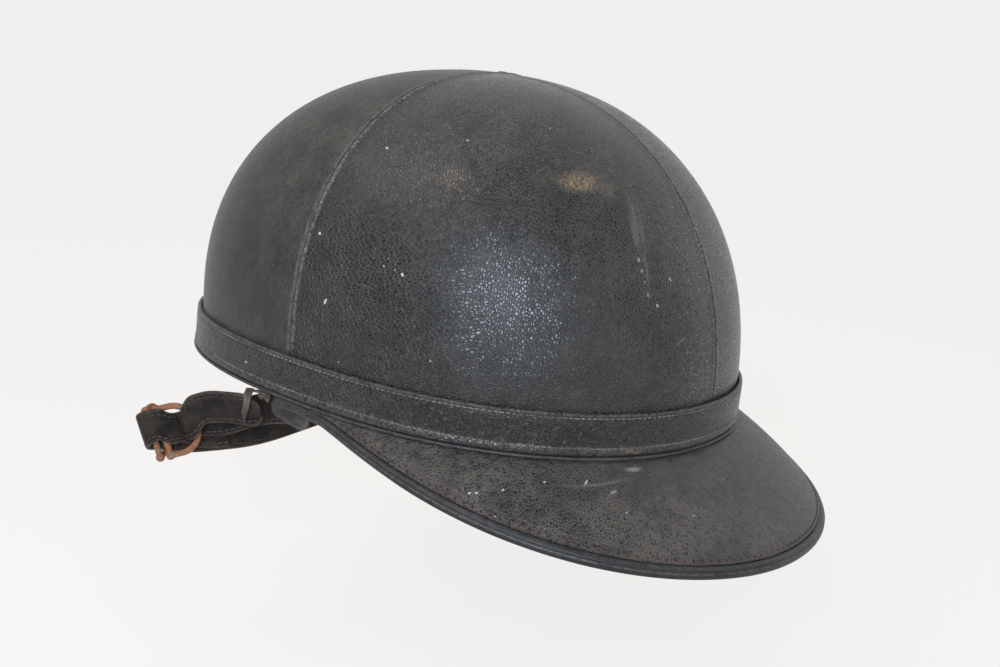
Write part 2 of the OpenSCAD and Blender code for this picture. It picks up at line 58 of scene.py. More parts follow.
# Layers, as offsets of their faces from the outer face of the cover
FIT, CLOTH_T = 0.3, 1.0
SHELL_IN = -CLOTH_T - FIT - 3
CORK_OUT, CORK_IN = SHELL_IN - FIT, SHELL_IN - FIT - 12
FELT_OUT, FELT_IN = CORK_IN - FIT, CORK_IN - FIT - 7
SWEAT_OUT, SWEAT_IN = FELT_IN - FIT, FELT_IN - FIT - 1.6

# Rim and peak
BAND_H, BAND_OUT = 17.5, 2.7
BIND_H, BIND_Z = 2.4, -1.7
SWEAT_TOP, SWEAT_DROP = 36, 7
PEAK_L, PEAK_END_A, PEAK_TAPER = 59.8, 100, 1.44
DROOP_FRONT, DROOP_SIDE = 34, 50
BOARD_T, PEAK_PLY, PEAK_BOW = 1.6, 0.15, 2.2
ROLL_W, ROLL_T = 5.2, 4.4
PEAK_HALF_T = BOARD_T / 2 + PEAK_PLY + CLOTH_T
PEAK_ROOT_OFF, PEAK_ROOT_Z = BAND_OUT - 1.4, BIND_Z - FIT - PEAK_HALF_T

# Chin strap and cradle
STRAP_W, STRAP_T = 14.4, 2.4
TAB_W, TAB_L, TAB_T, RIVET_D = 23, 26, 2.2, 4
PIVOT_Y, PIVOT_Z, TAB_LEAN = 18, 9, 81
TAPES, TAPE_W, TAPE_T, CRADLE_H, CORD_D = 6, 16, 1.2, 66, 2.6

# Camera, fitted to the outlines of the crown, rim and peak
CAM_AT = Vector((-481.77, -349.85, 161.63)) * MM
CAM_RIGHT = Vector((0.58666, -0.80223, 0.11073))
CAM_UP = Vector((0.12703, 0.22620, 0.96576))
CAM_BACK = Vector((-0.79981, -0.55251, 0.23461))
PHOTO_W, PHOTO_H, FOCAL_PX = 1000, 667, 1263
SHORTEST_MARK = 0.0004


# Points on the layers

def power(v, p):
    return np.sign(v) * np.abs(v) ** p


def crown_pt(a, off, h):
    """Points at angle a in degrees from the brow. h is -1 at the rim, 0 at the top of the wall and 1 at the apex."""
    a, off, h = np.broadcast_arrays(*(np.asarray(v, float) for v in (a, off, h)))
    r = np.radians(a)
    ahead = np.cos(r) > 0
    full = np.where(ahead, BROW_FULL, NAPE_FULL)
    half_l = CROWN_L / 2 + np.where(ahead, -WIDEST_AHEAD, WIDEST_AHEAD)
    up = np.radians(90 * np.clip(h, 0, 1))
    s = np.maximum(np.cos(up), 0) ** (2 / DOME_FULL)
    k = np.sin(up) ** (2 / DOME_FULL)
    x = (CROWN_W / 2 + off) * power(np.sin(r), 2 / full) * s
    y = -(half_l + off) * power(np.cos(r), 2 / full) * s - WIDEST_AHEAD + APEX_BACK * k
    z = np.where(h < 0, WALL_H * (1 + h), WALL_H + (CROWN_H - WALL_H + off) * k)
    return np.stack([x, y, z], -1)


def height_of(z, off=0.0):
    """The h of crown_pt that lies at height z."""
    z, off = np.asarray(z, float), np.asarray(off, float)
    k = np.clip((z - WALL_H) / (CROWN_H - WALL_H + off), 0, 1)
    dome = np.degrees(np.arcsin(k ** (DOME_FULL / 2))) / 90
    return np.where(z < WALL_H, z / WALL_H - 1, dome)


def rim_pt(a, off, z):
    return crown_pt(a, off, height_of(z, off))


def peak_reach(a):
    return PEAK_L * np.cos(np.radians(np.minimum(90 * np.abs(a) / PEAK_END_A, 90))) ** PEAK_TAPER


def peak_droop(a):
    return np.radians(DROOP_FRONT + (DROOP_SIDE - DROOP_FRONT) * (a / PEAK_END_A) ** 2)


def peak_pt(a, w, h):
    """A point of the peak: w along the slope from the root and h above the middle of the board."""
    a, w, h = np.broadcast_arrays(*(np.asarray(v, float) for v in (a, w, h)))
    t = crown_pt(a + 0.5, PEAK_ROOT_OFF, -1) - crown_pt(a - 0.5, PEAK_ROOT_OFF, -1)
    n = np.stack([t[..., 1], -t[..., 0], 0 * t[..., 0]], -1)
    n /= np.linalg.norm(n, axis=-1, keepdims=True)
    d, reach = peak_droop(a), peak_reach(a)
    f = np.clip(w / np.maximum(reach, 0.1), 0, 1)
    rise = h + PEAK_BOW * 4 * f * (1 - f) * reach / PEAK_L
    p = crown_pt(a, PEAK_ROOT_OFF, -1) + n * (w * np.cos(d) + rise * np.sin(d))[..., None]
    p[..., 2] += PEAK_ROOT_Z + rise * np.cos(d) - w * np.sin(d)
    return p


UP = np.array([0, 0, 1.0])


def unit(v):
    return v / np.maximum(np.linalg.norm(v, axis=-1, keepdims=True), 1e-9)


def row(p, up, share=1):
    """A listed point, the direction of a strip's width there and its share of the full width."""
    return [*p, *up, share]


def smooth(rows, steps):
    """A smooth run through rows that were given one by one."""
    p = np.array(rows, float)
    out = []
    for i in range(len(p) - 1):
        a, b, c, d = p[max(i - 1, 0)], p[i], p[i + 1], p[min(i + 2, len(p) - 1)]
        for u in np.arange(steps) / steps:
            out.append((2 * b + (c - a) * u + (2 * a - 5 * b + 4 * c - d) * u * u
                        + (3 * b - a - 3 * c + d) * u ** 3) / 2)
    return np.array(out + [p[-1]])


def ripple(a, seed):
    """A slow waviness round the rim, from -1 to 1, that closes on itself."""
    r = np.radians(a)
    waves = [(3, 0.5), (7, 0.3), (13, 0.2), (29, 0.12)]
    return sum(k * np.sin(n * r + seed * n * 1.7) for n, k in waves)


# Meshes

def grid_faces(n, m, ring_n=False, ring_m=False, first=0):
    """Quads over n rows of m points; rows and columns may close into rings."""
    return [
        (first + i * m + j, first + i * m + (j + 1) % m,
         first + (i + 1) % n * m + (j + 1) % m, first + (i + 1) % n * m + j)
        for i in range(n if ring_n else n - 1) for j in range(m if ring_m else m - 1)
    ]


def tube_faces(n, m, first=0, ring=False):
    """A tube of n sections with m corners each, with its ends closed."""
    ends = [] if ring else [
        tuple(first + j for j in range(m))[::-1],
        tuple(first + (n - 1) * m + j for j in range(m)),
    ]
    return grid_faces(n, m, ring_n=ring, ring_m=True, first=first) + ends


def closed(points, ring=False):
    """A part for piece: sections of points as a tube, closed at its ends or into a ring."""
    return points, tube_faces(*points.shape[:2], ring=ring)


def circle(count):
    return np.linspace(0, 2 * np.pi, count, endpoint=False)


def bell(v, middle, width):
    return np.exp(-((v - middle) / width) ** 2)


def ease(v, low, high):
    u = np.clip((v - low) / (high - low), 0, 1)
    return u * u * (3 - 2 * u)


def stand(name, data):
    """A new object in the scene."""
    obj = bpy.data.objects.new(name, data)
    bpy.context.scene.collection.objects.link(obj)
    return obj


def piece(name, parts, material, nodes=(), masks=None, body="crown"):
    """One mesh object from parts, each a pair of points in millimetres and faces, facing outward."""
    points = np.vstack([np.reshape(p, (-1, 3)) for p, _ in parts])
    faces, first = [], 0
    for p, quads in parts:
        faces += [tuple(first + k for k in q) for q in quads]
        first += np.reshape(p, (-1, 3)).shape[0]
    mesh = bpy.data.meshes.new(name)
    mesh.from_pydata((points * MM).tolist(), [], faces)
    for mask, values in (masks or {}).items():
        kind, field = ("FLOAT_VECTOR", "vector") if mask == "laid_flat" else ("FLOAT", "value")
        data = mesh.attributes.new(mask, kind, "POINT").data
        data.foreach_set(field, np.ravel(values).astype(np.float32))
    mesh.validate()
    obj = stand(name, mesh)
    bpy.ops.object.select_all(action="DESELECT")
    obj.select_set(True)
    bpy.context.view_layer.objects.active = obj
    bpy.ops.object.mode_set(mode="EDIT")
    bpy.ops.mesh.select_all(action="SELECT")
    bpy.ops.mesh.normals_make_consistent(inside=False)
    bpy.ops.object.mode_set(mode="OBJECT")
    bpy.ops.object.shade_smooth_by_angle(angle=SMOOTH_UNDER)
    mesh.materials.append(material)
    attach(obj, body)
    if nodes:
        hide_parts(*nodes)
    return obj


def sweep(path, up, section, share=None, ring=False):
    """A section, a list of (across, out) in millimetres, swept along a path. up runs along across."""
    ahead = unit(np.roll(path, -1, 0) - np.roll(path, 1, 0)) if ring else unit(np.gradient(path, axis=0))
    cross = np.cross(ahead, up)
    out = unit(cross)
    wide = up / np.maximum(np.linalg.norm(cross, axis=1, keepdims=True), 0.3)
    share = np.ones(len(path)) if share is None else share
    c = np.array(section, float)
    return (path[:, None] + wide[:, None] * (c[None, :, :1] * share[:, None, None])
            + out[:, None] * c[None, :, 1:2])


def round_about(side, over, count):
    """Unit circles of count points in the planes of side and over."""
    t = circle(count)[None, :, None]
    return side[:, None] * np.cos(t) + over[:, None] * np.sin(t)


def tube(path, radius, sides):
    """A round tube along a path, with a radius at each point."""
    path = np.asarray(path, float)
    ahead = unit(np.gradient(path, axis=0))
    side = unit(np.cross(ahead, [0.31, 0.17, 0.93]))
    r = np.broadcast_to(np.asarray(radius, float), (len(path),))[:, None, None]
    return closed(path[:, None] + r * round_about(side, np.cross(ahead, side), sides))


# Stitches: pitch, length and width. A stitch is a bar of rings, each with its place along and its share of width
SEAM_STITCH, CENTRE_STITCH, BAND_STITCH = (2.7, 2.0, 0.42), (2.2, 1.9, 0.5), (2.5, 2.05, 0.5)
PEAK_STITCH, PEAK_UNDER_STITCH, SWEAT_STITCH = (3.9, 3.1, 0.62), (3.9, 3.1, 0.5), (3.4, 2.6, 0.7)
TAB_STITCH, STRAP_STITCH, NEEDLE_HOLE = (2.8, 2.1, 0.5), (2.6, 2.1, 0.5), (1.0, 0.95, 0.95)
STITCH_RINGS, STITCH_SIDES = ((-0.5, 0.3), (-0.36, 0.85), (0, 1), (0.36, 0.85), (0.5, 0.3)), 6


def run_along(path):
    """The length from the start of a path to each of its points."""
    return np.concatenate([[0], np.cumsum(np.linalg.norm(np.diff(path, axis=0), axis=1))])


def on_run(run, values, at):
    return np.stack([np.interp(at, run, values[:, k]) for k in range(3)], -1)


def stitches(path, out, size, ring=False, seed=0):
    """Sewn stitches along a path: short rounded bars that lie on the surface whose normal is out."""
    pitch, length, width = size
    path, out = np.asarray(path, float), np.asarray(out, float)
    if ring:
        path, out = np.vstack([path, path[:1]]), np.vstack([out, out[:1]])
    run = run_along(path)
    count = max(int(run[-1] / pitch), 1)
    at = (np.arange(count) + 0.5) * run[-1] / count
    centre, normal = on_run(run, path, at), unit(on_run(run, out, at))
    ahead = unit(on_run(run, path, at + 0.4) - on_run(run, path, at - 0.4))
    side = np.cross(normal, ahead)
    rng = np.random.default_rng(seed)
    slew = rng.normal(0, 0.06, count)[:, None]
    ahead, side = unit(ahead + side * slew), unit(side - ahead * slew)
    stretch = rng.uniform(0.85, 1.1, count)
    around, rings = round_about(side, normal, STITCH_SIDES), len(STITCH_RINGS)
    points = [(centre + ahead * (x * length * stretch)[:, None])[:, None] + around * (r * width / 2)
              for x, r in STITCH_RINGS]
    faces = [f for i in range(count) for f in tube_faces(rings, STITCH_SIDES, first=i * rings * STITCH_SIDES)]
    return np.stack(points, 1), faces


# Node graphs

GRAIN_WARP = 0.0008
# Marks lie across the lines from this place, in metres, near the middle of the dome
MARK_MIDDLE = Vector((0, -WIDEST_AHEAD * MM, 0.03))


class Graph:
    """The nodes of a material, a world or a group."""

    def __init__(self, tree):
        self.tree = tree

    def node(self, kind, sockets=None, **settings):
        node = self.tree.nodes.new("ShaderNode" + kind)
        for key, value in settings.items():
            setattr(node, key, value)
        self.feed(node, sockets or {})
        return node

    def feed(self, node, sockets):
        """Links each named socket of the node, or sets it where the value is a plain one."""
        for key, value in sockets.items():
            if isinstance(value, bpy.types.NodeSocket):
                self.tree.links.new(value, node.inputs[key])
            else:
                node.inputs[key].default_value = value

    def math(self, operation, a, b=0.0, clamp=False):
        return self.node("Math", {0: a, 1: b}, operation=operation, use_clamp=clamp).outputs[0]

    def times(self, a, b, clamp=False):
        return self.math("MULTIPLY", a, b, clamp)

    def plus(self, a, b, clamp=False):
        return self.math("ADD", a, b, clamp)

    def less(self, a, b, clamp=False):
        return self.math("SUBTRACT", a, b, clamp)

    def vector(self, operation, a, b=(0, 0, 0)):
        node = self.node("VectorMath", {0: a, 3 if operation == "SCALE" else 1: b}, operation=operation)
        return node.outputs["Value" if operation in ("DOT_PRODUCT", "DISTANCE", "LENGTH") else "Vector"]

    def span(self, value, low, high, to_low=0.0, to_high=1.0):
        """The value, eased from low..high to to_low..to_high."""
        return self.node("MapRange", {
            "Value": value, "From Min": low, "From Max": high, "To Min": to_low, "To Max": to_high,
        }, interpolation_type="SMOOTHSTEP").outputs["Result"]

    def mix(self, factor, a, b):
        """A colour between a and b."""
        a, b = (v if isinstance(v, bpy.types.NodeSocket) else (*v, 1) for v in (a, b))
        return self.node("Mix", {0: factor, 6: a, 7: b}, data_type="RGBA").outputs[2]

    def mix_shaders(self, factor, a, b):
        return self.node("MixShader", {0: factor, 1: a.outputs[0], 2: b.outputs[0]})

    def noise(self, vector, scale, detail, rough=0.55, distortion=0.0):
        return self.node("TexNoise", {
            "Vector": vector, "Scale": scale, "Detail": detail, "Roughness": rough, "Distortion": distortion,
        }).outputs["Fac"]

    def cells(self, vector, scale, feature, dimensions="3D"):
        return self.node("TexVoronoi", {"Vector": vector, "Scale": scale}, feature=feature,
                         voronoi_dimensions=dimensions).outputs

    def mask(self, name):
        return self.node("Attribute", attribute_name=name).outputs["Fac"]

    def spots(self, vector, marks):
        """The strongest of a list of oval masks: (centre, direction, half length, half width, softness, strength)."""
        total = None
        for centre, direction, half_l, half_w, soft, strength in marks:
            along = Vector(direction).normalized()
            across = along.cross(Vector(centre) - MARK_MIDDLE).normalized()
            oval = self.node("Group", {"Vector": vector, "Centre": centre, "Along": along / half_l,
                                       "Across": across / half_w, "Soft": soft}, node_tree=SPOT)
            mask = self.times(oval.outputs["Mask"], strength)
            total = mask if total is None else self.math("MAXIMUM", total, mask)
        return total


class Group(Graph):
    """A node group with values as its outputs."""

    def __init__(self, name, inputs, outputs):
        super().__init__(bpy.data.node_groups.new(name, "ShaderNodeTree"))
        for label, kind in inputs.items():
            self.tree.interface.new_socket(label, in_out="INPUT", socket_type="NodeSocket" + kind)
        for label in outputs:
            self.tree.interface.new_socket(label, in_out="OUTPUT", socket_type="NodeSocketFloat")
        self.given = self.tree.nodes.new("NodeGroupInput").outputs
        self.result = self.tree.nodes.new("NodeGroupOutput")


class Material(Graph):
    """A material with its shader; where gives the object's own coordinates."""

    def __init__(self, name):
        self.material = bpy.data.materials.new(name)
        self.material.use_nodes = True
        super().__init__(self.material.node_tree)
        self.shader = self.tree.nodes["Principled BSDF"]
        self.where = self.node("TexCoord").outputs["Object"]

    def dress(self, height, distance, sockets):
        """Feeds the shader, with a height in millimetres as its bump, and gives the material."""
        bump = self.node("Bump", {"Height": height, "Distance": distance * MM, "Strength": 1.0})
        self.feed(self.shader, {"Normal": bump.outputs["Normal"], **sockets})
        return self.material


def shade(colour, share):
    return tuple(c * share for c in colour)


def grain_group(name, dimensions):
    """Pebbled leathercloth: flat-topped cells that tilt a little each their own way, and the creases between."""
    g = Group(name, {"Vector": "Vector", "Scale": "Float"}, ["Height", "Crease", "Tone"])
    vector, scale = g.given["Vector"], g.given["Scale"]
    warp = g.node("TexNoise", {"Vector": vector, "Scale": 420.0, "Detail": 2.0}).outputs["Color"]
    where = g.vector("ADD", vector, g.vector("SCALE", warp, GRAIN_WARP))
    edge = g.cells(where, scale, "DISTANCE_TO_EDGE", dimensions)["Distance"]
    own = g.cells(where, scale, "F1", dimensions)
    lean = g.vector("SUBTRACT", own["Color"], (0.5, 0.5, 0.5))
    tilt = g.times(g.vector("DOT_PRODUCT", lean, g.vector("SUBTRACT", where, own["Position"])), scale)
    open_to = g.less(1.0, g.span(edge, 0.0, 0.3))
    dome = g.less(1.0, g.times(open_to, open_to))
    height = g.plus(dome, g.times(g.noise(where, 1500.0, 2.0, 0.6), 0.35))
    g.feed(g.result, {
        "Height": g.plus(height, g.times(tilt, 0.9)), "Crease": g.span(edge, 0.01, 0.15, 1.0, 0.0),
        "Tone": g.node("SeparateColor", {0: own["Color"]}).outputs[2],
    })
    return g.tree


def spot_group():
    """A soft-edged oval mask: Along and Across are directions divided by the oval's half sizes."""
    vectors = dict.fromkeys(("Vector", "Centre", "Along", "Across"), "Vector")
    g = Group("oval_spot", {**vectors, "Soft": "Float"}, ["Mask"])
    away = g.vector("SUBTRACT", g.given["Vector"], g.given["Centre"])
    along, across = (g.vector("DOT_PRODUCT", away, g.given[k]) for k in ("Along", "Across"))
    far = g.math("SQRT", g.plus(g.times(along, along), g.times(across, across)))
    g.feed(g.result, {"Mask": g.span(far, g.less(1.0, g.given["Soft"]), 1.0, 1.0, 0.0)})
    return g.tree


GRAIN, FLAT_GRAIN = grain_group("leather_grain", "3D"), grain_group("laid_grain", "2D")
SPOT = spot_group()


def leathercloth(name, colour, dust, dust_amount, line, rough, cell, relief, film, shine, halo, mottle,
                 dull=(), pale=(), shade_patches=(), wrinkled=None, laid=False):
    """Coated cloth with a pebbled grain and dust in its creases.

    dull and pale are marks in tan and near white; some pale marks along a scuffed streak are painted glints.
    The marks that leave the dust out are darker patches, painted shade. wrinkled gives the middle and the reach
    of a part with a coarser grain. laid takes the grain from the cloth as it lies flat.
    """
    g = Material(name)
    pattern, grain_tree = g.where, GRAIN
    if laid:
        pattern, grain_tree = g.node("Attribute", attribute_name="laid_flat").outputs["Vector"], FLAT_GRAIN

    def grain(stretch, turn, scale):
        drawn = g.node("Mapping", {"Vector": pattern, "Scale": stretch, "Rotation": (0.0, 0.0, turn)}).outputs[0]
        drawn = g.node("Group", {"Vector": drawn, "Scale": scale / (cell * MM)}, node_tree=grain_tree).outputs
        return [drawn[k] for k in ("Height", "Crease", "Tone")]

    parts = grain((1.2, 0.8, 1.0), 0.35, 1)
    if wrinkled:
        centre, reach = wrinkled
        away = g.plus(g.vector("DISTANCE", g.where, centre), g.times(g.noise(g.where, 260.0, 4.0, 0.7), 0.05))
        near = g.span(away, reach, reach + 0.003, 1.0, 0.0)
        folds = grain((0.62, 1.15, 1.0), -0.22, 0.9)
        parts = [g.node("Mix", {0: near, 2: a, 3: b}).outputs[0] for a, b in zip(parts, folds)]
    height, crease, tone = parts
    blotch, patch = g.noise(g.where, 22.0, 4.0, 0.6), g.noise(g.where, 75.0, 3.0, 0.6)
    worn = g.span(patch, 0.3, 0.7)
    up = g.node("SeparateXYZ", {0: g.node("NewGeometry").outputs["Normal"]}).outputs[2]
    lies = g.times(g.span(up, 0.1, 0.95, 0.08, 1.0), g.span(blotch, 0.34, 0.64, 0.3, 1.0))
    lies = g.times(lies, g.span(patch, 0.36, 0.62, 0.35, 1.0))
    # Painted shade: these patches leave the dust out, so the cloth is darker there.
    if shade_patches:
        lies = g.times(lies, g.less(1.0, g.spots(g.where, shade_patches), clamp=True))
    dusty = g.times(lies, dust_amount, clamp=True)
    base = g.mix(dusty, g.mix(worn, colour, shade(colour, 1.35)), dust)
    speckle = g.node("MapRange", {"Value": tone, "To Min": 1 - mottle, "To Max": 1 + mottle}).outputs["Result"]
    lined = g.times(crease, g.times(g.span(worn, 0.0, 1.0, 0.5, 1.0), line))
    base = g.mix(lined, g.vector("SCALE", base, speckle), shade(dust, 1.4))
    rubbed = g.times(g.mask("rubbed"), g.span(g.noise(g.where, 420.0, 4.0, 0.7), 0.34, 0.66), clamp=True)
    # Painted shade: near-black laid into the seam grooves where the mask shaded is high.
    base = g.mix(g.mask("shaded"), g.mix(rubbed, base, RUBBED), SEAM_PAINTED_SHADE)
    coarse = g.noise(g.where, 900.0, 3.0, 0.75)
    if dull:
        scuff = g.times(g.spots(g.where, dull), g.span(coarse, 0.38, 0.62), clamp=True)
        base = g.mix(scuff, base, TAN)
    if pale:
        # Near-white flecks and scratches, and painted glints along a scuffed streak on the crown
        fleck_and_glint = g.times(g.spots(g.where, pale), g.span(coarse, 0.2, 0.5, 0.35, 1.0), clamp=True)
        base = g.mix(fleck_and_glint, base, PALE_FLECK_AND_GLINT)
    gloss = g.plus(g.span(patch, 0.25, 0.75, rough - 0.02, rough + 0.05), g.times(dusty, 0.36))
    return g.dress(height, relief, {
        "Base Color": base, "Roughness": g.plus(gloss, g.times(crease, 0.3), clamp=True),
        "Specular IOR Level": shine, "Coat Weight": halo, "Coat Roughness": 0.5,
        "Sheen Weight": film, "Sheen Roughness": 0.35, "Sheen Tint": (1.0, 0.96, 0.9, 1),
    })


def leather(name, colour, worn, rough, relief, cell):
    """Strap and lining leather: fine grain, long creases and browned edges where the mask rubbed is high."""
    g = Material(name)
    grain = g.node("Group", {"Vector": g.where, "Scale": 1 / (cell * MM)}, node_tree=GRAIN).outputs["Height"]
    blotch = g.noise(g.where, 120.0, 4.0, 0.65)
    creases = g.noise(g.where, 520.0, 5.0, 0.7, 0.6)
    faded = tuple(c * 1.8 + 0.18 * w for c, w in zip(colour, worn))
    fray = g.times(g.mask("rubbed"), g.span(creases, 0.36, 0.6), clamp=True)
    return g.dress(g.plus(g.times(grain, 0.5), creases), relief, {
        "Base Color": g.mix(fray, g.mix(g.span(blotch, 0.35, 0.7), colour, faded), worn),
        "Roughness": g.span(blotch, 0.3, 0.75, rough - 0.1, rough + 0.14), "Specular IOR Level": 0.17,
    })


def thread(name, colour):
    g = Material(name)
    fibres, old = g.noise(g.where, 2500.0, 3.0), g.noise(g.where, 60.0, 3.0, 0.6)
    tone = g.mix(g.span(fibres, 0.3, 0.7), shade(colour, 0.55), colour)
    return g.dress(fibres, 0.2, {
        "Base Color": g.mix(g.span(old, 0.42, 0.62), tone, shade(colour, 0.4)), "Roughness": 0.8,
    })


def cork_material(name, colour):
    """Pressed cork: lumps of different tones, with the gaps between them and the small pits painted dark as shade."""
    g = Material(name)
    lumps = g.cells(g.where, 420.0, "F1")["Color"]
    gap = g.span(g.cells(g.where, 420.0, "DISTANCE_TO_EDGE")["Distance"], 0.0, 0.16, 1.0, 0.0)
    pits = g.span(g.noise(g.where, 700.0, 4.0, 0.7), 0.58, 0.66)
    tint = g.span(g.node("SeparateColor", {0: lumps}).outputs[0], 0.1, 0.9)
    # Painted shade in the gaps between the lumps and in the pits
    base = g.mix(tint, shade(colour, 0.6), shade(colour, 1.25))
    base = g.mix(g.times(gap, 0.7), base, shade(colour, 0.25))
    return g.dress(g.less(1.0, g.plus(g.times(gap, 0.5), pits)), 0.4, {
        "Base Color": g.mix(pits, base, shade(colour, 0.2)), "Roughness": 0.9,
    })


def woven(name, colour, pitch, dirt):
    """Plain-woven cotton: two sets of yarns that cross, in the frame's own directions."""
    g = Material(name)
    weave = g.math("MAXIMUM", *(
        g.node("TexWave", {"Vector": g.where, "Scale": 0.32 / (pitch * MM), "Distortion": 1.2, "Detail": 2.0,
                           "Detail Scale": 3.0}, bands_direction=direction).outputs["Fac"]
        for direction in ("X", "Z")))
    stain = g.span(g.noise(g.where, 55.0, 4.0, 0.6), 0.4, 0.72, 0.0, 0.75)
    base = g.mix(g.span(weave, 0.2, 0.9), shade(colour, 0.5), colour)
    return g.dress(weave, 0.3, {"Base Color": g.mix(stain, base, dirt), "Roughness": 0.9, "Sheen Weight": 0.25})


def felt_material(name, colour):
    g = Material(name)
    fuzz, clump = g.noise(g.where, 1500.0, 6.0, 0.75, 1.5), g.noise(g.where, 160.0, 3.0)
    base = g.mix(g.span(fuzz, 0.3, 0.7), shade(colour, 0.45), shade(colour, 1.2))
    base = g.mix(g.span(clump, 0.4, 0.7, 0.0, 0.5), base, shade(colour, 0.5))
    return g.dress(fuzz, 0.6, {"Base Color": base, "Roughness": 1.0, "Sheen Weight": 0.4})


def crusted(name, under, crust_colour, dark, amount, metal=True):
    """A surface under a crust of rust or age, more of it with a higher amount."""
    g = Material(name)
    bloom, speck = g.noise(g.where, 330.0, 5.0, 0.7), g.noise(g.where, 1700.0, 4.0, 0.7)
    crust = g.span(bloom, 0.62 - amount * 0.4, 0.74 - amount * 0.3)
    tone = g.mix(g.span(speck, 0.35, 0.68), crust_colour, dark)
    return g.dress(g.plus(speck, crust), 0.3, {
        "Base Color": g.mix(crust, under, tone), "Roughness": g.plus(0.42, g.times(crust, 0.36)),
        "Metallic": g.less(0.85, g.times(crust, 0.8), clamp=True) if metal else 0.0,
    })


# Colours, as linear values
TAN = (0.25, 0.16, 0.085)
# Near white, for pale flecks and for painted glints
PALE_FLECK_AND_GLINT = (0.55, 0.53, 0.5)
RUBBED = (0.115, 0.098, 0.082)
# Near-black of the seams, painted shade in their grooves
SEAM_PAINTED_SHADE = (0.006, 0.006, 0.006)


# Camera

def make_camera():
    data = bpy.data.cameras.new("photo_camera")
    data.lens = data.sensor_width * FOCAL_PX / PHOTO_W
    data.clip_start, data.clip_end = 0.02, 30
    camera = stand("photo_camera", data)
    turn = Matrix((CAM_RIGHT, CAM_UP, CAM_BACK)).transposed().to_4x4()
    camera.matrix_world = Matrix.Translation(CAM_AT) @ turn
    bpy.context.scene.camera = camera


def surface_tree(points, faces):
    """A surface given in millimetres, for rays to meet."""
    return BVHTree.FromPolygons([Vector(p) for p in np.reshape(points, (-1, 3)) * MM], faces)


def pixel_point(tree, px, py):
    """The point in metres where the ray through a pixel of the photograph meets a surface."""
    across = CAM_RIGHT * ((px - PHOTO_W / 2) / FOCAL_PX)
    up = CAM_UP * ((PHOTO_H / 2 - py) / FOCAL_PX)
    return tree.ray_cast(CAM_AT, (across + up - CAM_BACK).normalized())[0]


def marks_at(tree, rows):
    """Marks given by two pixels, the ends of each mark, with its half width in millimetres, softness and strength."""
    found = []
    for x0, y0, x1, y1, half_w, soft, strength in rows:
        a, b = pixel_point(tree, x0, y0), pixel_point(tree, x1, y1)
        if a and b:
            half_l = max((b - a).length / 2, SHORTEST_MARK)
            found.append((tuple((a + b) / 2), tuple(b - a), half_l, half_w * MM, soft, strength))
    return found


make_camera()


# Materials

# Colour and dust, then dust amount, line, rough, cell, relief, film, shine, halo and mottle of each leathercloth
CROWN_CLOTH = (0.0045, 0.004, 0.0037), (0.078, 0.064, 0.05), 0.36, 0.55, 0.19, 1.35, 0.36, 0.01, 0.4, 0.3, 0.6
REAR_CLOTH = (0.015, 0.0125, 0.0105), (0.09, 0.075, 0.06), 0.5, 0.55, 0.42, 1.35, 0.06, 0.1, 0.24, 0.0, 0.35
BAND_CLOTH = (0.005, 0.0044, 0.004), (0.058, 0.048, 0.038), 0.26, 0.5, 0.22, 1.15, 0.24, 0.02, 0.36, 0.1, 0.6
PEAK_CLOTH = (0.0135, 0.0112, 0.0095), (0.105, 0.086, 0.068), 0.28, 0.8, 0.32, 1.35, 0.22, 0.04, 0.3, 0.1, 0.7
EDGE_CLOTH = (0.0075, 0.0072, 0.0072), (0.07, 0.063, 0.056), 0.32, 0.16, 0.33, 1.0, 0.05, 0.04, 0.3, 0.0, 0.3
CORK = cork_material("cork", (0.36, 0.22, 0.11))
FELT = felt_material("felt", (0.11, 0.1, 0.09))
# Leathers: colour, colour where worn, roughness, and relief and cell of the grain in millimetres
SWEAT_LEATHER = leather("sweatband_leather", (0.05, 0.03, 0.019), (0.2, 0.13, 0.08), 0.5, 0.2, 1.1)
STRAP_LEATHER = leather("strap_leather", (0.007, 0.0051, 0.0039), (0.11, 0.078, 0.055), 0.46, 0.35, 0.8)
TAB_LEATHER = leather("tab_leather", (0.034, 0.03, 0.027), (0.13, 0.1, 0.08), 0.6, 0.18, 1.0)
THONG_LEATHER = leather("thong_leather", (0.06, 0.042, 0.032), (0.19, 0.135, 0.1), 0.75, 0.3, 0.7)
SPACER_LEATHER = leather("spacer_leather", (0.12, 0.075, 0.045), (0.2, 0.13, 0.08), 0.7, 0.2, 0.8)
WEBBING = woven("webbing", (0.38, 0.33, 0.25), 0.55, (0.16, 0.11, 0.07))
COTTON = thread("cotton_cord", (0.45, 0.4, 0.31))
TAN_THREAD = thread("tan_thread", (0.25, 0.185, 0.14))
BROWN_THREAD = thread("brown_thread", (0.13, 0.066, 0.043))
DARK_THREAD = thread("dark_thread", (0.085, 0.063, 0.049))
# Crusts: colour under the crust, its two colours and its amount
RUST = crusted("rusty_wire", (0.3, 0.22, 0.16), (0.33, 0.115, 0.038), (0.13, 0.05, 0.025), 0.75)
TARNISH = crusted("tarnished_rivet", (0.42, 0.38, 0.31), (0.19, 0.1, 0.05), (0.09, 0.055, 0.035), 0.25)


# Cover

RIDGE_AT, RIDGE_WIDE, EDGE_WIDE, SEAM_DEPTH = 1.25, 0.8, 0.4, 0.7
DOME_MIDDLE = np.array([0, -WIDEST_AHEAD, WALL_H])
LAID_RADIUS = 0.12
# The cover's slow unevenness between its seams, and the heights over which it grows and fades
SAG, SAG_SEED, SAG_STARTS, SAG_ENDS = 0.16, 3, (18, 60), (110, 138)


def seam_profile(d, lift):
    """Height of the cover at distance d from a seam: the edge rolls down into it behind a low ridge."""
    return lift * bell(d, RIDGE_AT, RIDGE_WIDE) - SEAM_DEPTH * bell(d, 0, EDGE_WIDE)


